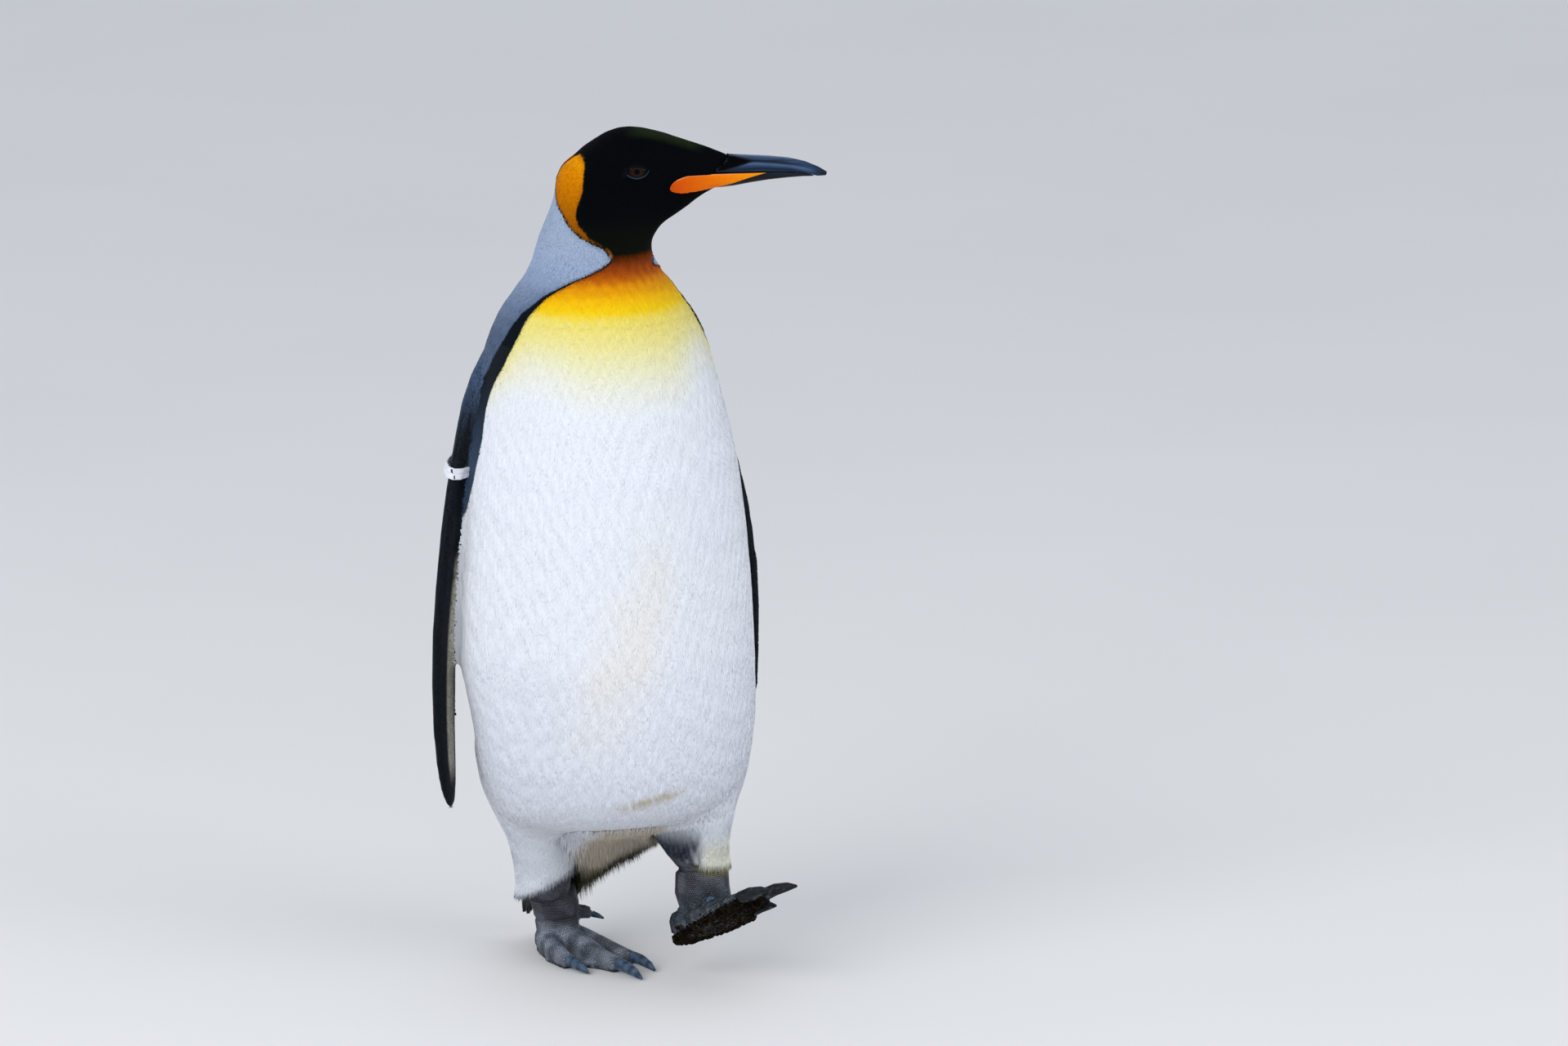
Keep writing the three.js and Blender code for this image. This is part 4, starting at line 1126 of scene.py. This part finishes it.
# --- Eyes ----------------------------------------------------------------------------------------
# Dark brown eyes, wet and clear over the iris. Lids of bare dark skin close round them to an
# almond, and the lower lid's edge is blue-grey.
EYE_AT = (35.5, 14.6, 697)  # reach, out, height
EYE_RADIUS = 14.0
EYE_TURN = 5  # degrees each eye looks ahead of straight out
EYE_BACK = 12.0  # mm from the pupil's middle, past the iris
LID_LONG, LID_HIGH, LID_LOW = 43, 16, 20  # degrees the lids open, to the corners, up and down
LID_CORNER = 1.6  # 2 would be an ellipse
LID_RIM = (76, 60)  # degrees out to where the lids run under the feathers, along and up
IRIS = [(0.0, "#020202"), (0.23, "#020202"), (0.28, "#24160d"), (0.46, "#1a100a"), (0.6, "#060404"),
        (1.0, "#030303")]  # its rings, by parts of that
wet_eye, tree, shader = new_material(
    "wet eye", Roughness=0.16, Coat_Weight=0.025, Coat_Roughness=0.03, Specular_IOR_Level=0.03)
rings = node(tree, "Attribute", attribute_name="gaze").outputs["Fac"]  # mm from the pupil's middle
where = node(tree, "TexCoord").outputs["Object"]
flecks = node(tree, "TexNoise", {"Vector": where, "Scale": 1500.0}).outputs["Fac"]
wander = node(tree, "Math", {0: flecks, 1: 0.9, 2: rings}, operation="MULTIPLY_ADD")
span = node(tree, "MapRange", {"Value": wander.outputs["Value"], "From Max": EYE_BACK})
tone = node(tree, "ValToRGB", {"Fac": span.outputs["Result"]})
for at, code in IRIS:
    ramp = tone.color_ramp.elements
    stop = ramp.new(at) if at not in (0.0, 1.0) else ramp[-int(at)]
    stop.color = paint(code)
tree.links.new(tone.outputs["Color"], shader.inputs["Base Color"])
lid_skin, tree, shader = new_material("bare lid skin", Roughness=0.7, Specular_IOR_Level=0.03)
where = node(tree, "TexCoord").outputs["Object"]
wrinkle = node(tree, "TexNoise", {"Vector": where, "Scale": 1800.0})
take_marking(tree, shader, wrinkle.outputs["Fac"], relief=(0.0004, 0.5))
for side, sign in (("right", -1), ("left", 1)):
    middle = np.array([*NECK_AXIS, 0]) + HEAD_AHEAD * EYE_AT[0] + HEAD_LEFT * sign * EYE_AT[1]
    middle[2] = EYE_AT[2]
    turned = np.radians(EYE_TURN)
    ahead = HEAD_AHEAD * np.cos(turned) - HEAD_LEFT * sign * np.sin(turned)
    looking = HEAD_LEFT * sign * np.cos(turned) + HEAD_AHEAD * np.sin(turned)
    deselect()
    bpy.ops.mesh.primitive_uv_sphere_add(segments=48, ring_count=28, radius=EYE_RADIUS / 1000)
    eye = bpy.context.object
    eye.name = f"eyeball_{side}"
    points, _, _ = arrays_of(eye.data)
    set_points(eye.data, points + middle)
    gaze = eye.data.attributes.new("gaze", "FLOAT", "POINT")
    off_axis = points - np.outer(points @ looking, looking)
    rings = np.where(points @ looking > 0, np.linalg.norm(off_axis, axis=1), EYE_BACK)
    gaze.data.foreach_set("value", rings.astype(np.float32))
    eye.location = (0, 0, 0)
    eye.data.shade_smooth()
    eye.data.materials.append(wet_eye)
    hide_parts(f"eye_{side}")
    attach(eye, "root")

    deselect()
    bpy.ops.mesh.primitive_grid_add(x_subdivisions=72, y_subdivisions=12, size=2)
    lids = bpy.context.object
    lids.name = f"lids_{side}"
    sheet, _, _ = arrays_of(lids.data)
    around = np.pi * (sheet[:, 0] / 1000 + 1)
    outwards = (sheet[:, 1] / 1000 + 1) / 2
    above = np.sin(around) > 0
    # an almond with pointed corners, its lower lid the fuller, in degrees from where the eye looks
    tall = np.abs(np.sin(around) / np.where(above, LID_HIGH, LID_LOW))
    opening = (np.abs(np.cos(around) / LID_LONG) ** LID_CORNER + tall ** LID_CORNER) ** (-1 / LID_CORNER)
    rim = 1 / np.sqrt((np.cos(around) / LID_RIM[0]) ** 2 + (np.sin(around) / LID_RIM[1]) ** 2)
    angle = np.radians(opening + (rim - opening) * outwards)
    bead = 0.45 * np.exp(-((outwards - 0.1) / 0.07) ** 2)
    far = EYE_RADIUS + 0.25 + bead - 0.1 * step(outwards, 0.4, 1.0)
    aside = np.cos(around)[:, None] * ahead + np.sin(around)[:, None] * np.array([0, 0, 1.0])
    way = np.cos(angle)[:, None] * looking + np.sin(angle)[:, None] * aside
    set_points(lids.data, middle + way * far[:, None])
    edge = np.exp(-((outwards - 0.1) / 0.055) ** 2) * np.where(above, 0.04, 0.48)
    mark(lids.data, mix(np.tile(linear("#020304"), (len(edge), 1)), linear("#445a78"), edge))
    bpy.ops.object.mode_set(mode="EDIT")
    bpy.ops.mesh.select_all(action="SELECT")
    bpy.ops.mesh.remove_doubles(threshold=2e-5)
    bpy.ops.mesh.normals_make_consistent(inside=False)
    bpy.ops.object.mode_set(mode="OBJECT")
    modify(lids, "SOLIDIFY", thickness=0.0005, offset=-1)
    lids.data.shade_smooth()
    lids.data.materials.append(lid_skin)
    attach(lids, "root")

# --- Claws ---------------------------------------------------------------------------------------
# Eight long blunt claws of grey-blue horn, one capping the end of each toe. They grow in layers
# and are scuffed by stony ground, and those of the raised foot's three toes are soiled.
claw_horn, tree, shader = new_material("scuffed claw horn", Roughness=0.5, Specular_IOR_Level=0.12)
where = node(tree, "TexCoord").outputs["Object"]
layers = node(tree, "TexNoise", {"Vector": where, "Scale": 420.0, "Detail": 4.0})
take_marking(tree, shader, layers.outputs["Fac"], 0.5, 1.5, relief=(0.0005, 0.5))
for side in ("right", "left"):
    for toe in ("outer", "middle", "inner", "hallux"):
        claw = refine(f"horn_{toe}_{side}", [f"claw_{toe}_{side}"], 0.5, 5)
        points, _, _ = arrays_of(claw.data)
        tones = mix(linear("#2e3c4b"), linear("#4c5d72"), step(wave(points, 8, 14), -0.9, 0.9))
        if side == "left" and toe != "hallux":  # soiled like the sole
            tones = mix(tones, linear("#15110b"), 0.9 * step(wave(points, 5, 15), -1.5, -0.3))
        mark(claw.data, tones)
        claw.data.materials.append(claw_horn)

# --- Tail ----------------------------------------------------------------------------------------
# A short stiff wedge of narrow black feathers, each with a raised shaft, in three layers that are
# fanned out from the rump and worn to uneven ends.
# its middle line and its half width, from 0 at the rump to 1 at the end
TAIL_Y = [(0, 62), (0.3, 84), (0.6, 100), (0.85, 112), (1.0, 119)]
TAIL_Z = [(0, 126), (0.3, 98), (0.6, 66), (0.85, 36), (1.0, 12)]
TAIL_HALF = [(0, 34), (0.3, 33), (0.6, 29), (0.85, 26), (1.0, 24)]
material, tree, shader = new_material("stiff tail feathers", Roughness=0.48, Sheen_Weight=0.1)
where = node(tree, "TexCoord").outputs["Object"]
stretched = node(tree, "Mapping", {"Vector": where, "Scale": (1400, 300, 90)})
barbs = node(tree, "TexNoise", {"Vector": stretched.outputs["Vector"], "Scale": 1.0})
tone = node(tree, "ValToRGB", {"Fac": barbs.outputs["Fac"]})
for stop, at, code in zip(tone.color_ramp.elements, (0.3, 0.75), ("#0b0c0e", "#2b2c2f")):
    stop.position = at
    stop.color = paint(code)
tree.links.new(tone.outputs["Color"], shader.inputs["Base Color"])
bump = node(tree, "Bump", {"Height": barbs.outputs["Fac"], "Distance": 0.0004, "Strength": 0.5})
tree.links.new(bump.outputs["Normal"], shader.inputs["Normal"])
rng = np.random.default_rng(71)
BLADE_STEPS = 12
BLADE_HALF = 6.2  # mm, its widest
TAIL_FAN = 0.86  # how far out the outermost blades lie, by the tail's half width
blades, faces = [], []
for layer, count in ((-1, 8), (0, 9), (1, 8)):
    for i in range(count):
        aside = (2 * i / (count - 1) - 1) * TAIL_FAN
        long = 1.0 - 0.07 * abs(aside) - 0.05 * rng.random() - 0.03 * (layer == 1)
        base = len(blades)
        for j in range(BLADE_STEPS + 1):
            t = j / BLADE_STEPS
            place = t * long
            wide = BLADE_HALF * min(1, (1.02 - t) * 4) ** 0.6 * min(1, 0.45 + 2 * t)
            x = -3 - 15 * place + aside * float(table(TAIL_HALF, place))
            y = float(table(TAIL_Y, place))
            z = float(table(TAIL_Z, place))
            thick = (1 - place) * 11 + 1.4
            y += layer * thick * 0.8 - 3.5 * aside ** 2 + 0.5 * (i % 2)
            z += layer * thick * 0.3
            blades += [(x - wide, y - 0.9, z), (x, y + 0.7, z), (x + wide, y - 0.9, z)]
        for j in range(BLADE_STEPS):
            at = base + 3 * j
            faces += [(at, at + 1, at + 4, at + 3), (at + 1, at + 2, at + 5, at + 4)]
mesh = bpy.data.meshes.new("tail_blades")
mesh.from_pydata((np.array(blades) / 1000).tolist(), [], faces)
tail = bpy.data.objects.new("tail_blades", mesh)
bpy.context.collection.objects.link(tail)
modify(tail, "SOLIDIFY", thickness=0.0006, offset=0)
tail.data.materials.append(material)
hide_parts("tail")
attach(tail, "root")

# --- Flipper band --------------------------------------------------------------------------------
# A bare identity band of white moulded plastic, loose round the right flipper. It has two rounded
# ridges with a groove between them, each with the slot of its clasp, painted dark as shade.
BAND_AT = np.array([-132, 15, 444.0])  # the middle of its leading edge
BAND_TILT = np.radians(12)  # it hangs by its back edge
BAND_UP = np.array([0, -np.sin(BAND_TILT), np.cos(BAND_TILT)])
CLASP_X, CLASP_SHIFT = -133, 1.6  # the upper ridge's slot, and how much further in the lower one's is
material, tree, shader = new_material("white moulded plastic", Roughness=0.38, Coat_Weight=0.1)
where = node(tree, "TexCoord").outputs["Object"]
scuffs = node(tree, "TexNoise", {"Vector": where, "Scale": 300.0, "Detail": 4.0})
take_marking(tree, shader, scuffs.outputs["Fac"], 0.75, 1.15)
band = refine("band_ring", ["flipper_band"], 0.45, 4)
# its corners are evened out to a round ring
points, _, _ = arrays_of(band.data)
centre = (points.max(0) + points.min(0)) / 2
level = np.cross([1.0, 0, 0], BAND_UP)
flat = np.stack([(points - centre)[:, 0], (points - centre) @ level], 1)
way, far = np.degrees(np.arctan2(flat[:, 1], flat[:, 0])), np.hypot(*flat.T)
rims = np.arange(-180, 180, 4)
widest = np.array([far[np.abs((way - rim + 180) % 360 - 180) < 3].max(initial=0) for rim in rims])
widest = np.interp(rims, rims[widest > 0], widest[widest > 0], period=360)
steps = np.arange(len(rims))
bell = np.exp(-(np.minimum(steps, len(rims) - steps) / 4.5) ** 2)
evened = np.real(np.fft.ifft(np.fft.fft(widest) * np.fft.fft(bell / bell.sum())))
stretch = np.interp(way, rims, evened / widest, period=360) - 1
outwards = (points - centre) - np.outer((points - centre) @ BAND_UP, BAND_UP)
set_points(band.data, points + outwards * stretch[:, None])
modify(band, "SMOOTH", factor=0.5, iterations=5)
points, normals, _ = arrays_of(band.data)
up = (points - BAND_AT) @ BAND_UP
across = points[:, 0] - CLASP_X - CLASP_SHIFT * (up < 0)
walls = np.abs(normals @ BAND_UP) < 0.6
groove = np.exp(-(up / 0.9) ** 2) * walls
slot = (walls & (normals[:, 1] < 0)) * (np.abs(across) < 0.55) * (np.abs(np.abs(up) - 2.2) < 1.5)
set_points(band.data, points - normals * (0.6 * groove + 0.3 * slot)[:, None])
# the slots are painted near black, as painted shade in the clasps' openings
mark(band.data, mix(np.tile(linear("#dfe0e8"), (len(up), 1)), linear("#0b0c0f"), slot))
band.data.materials.append(material)
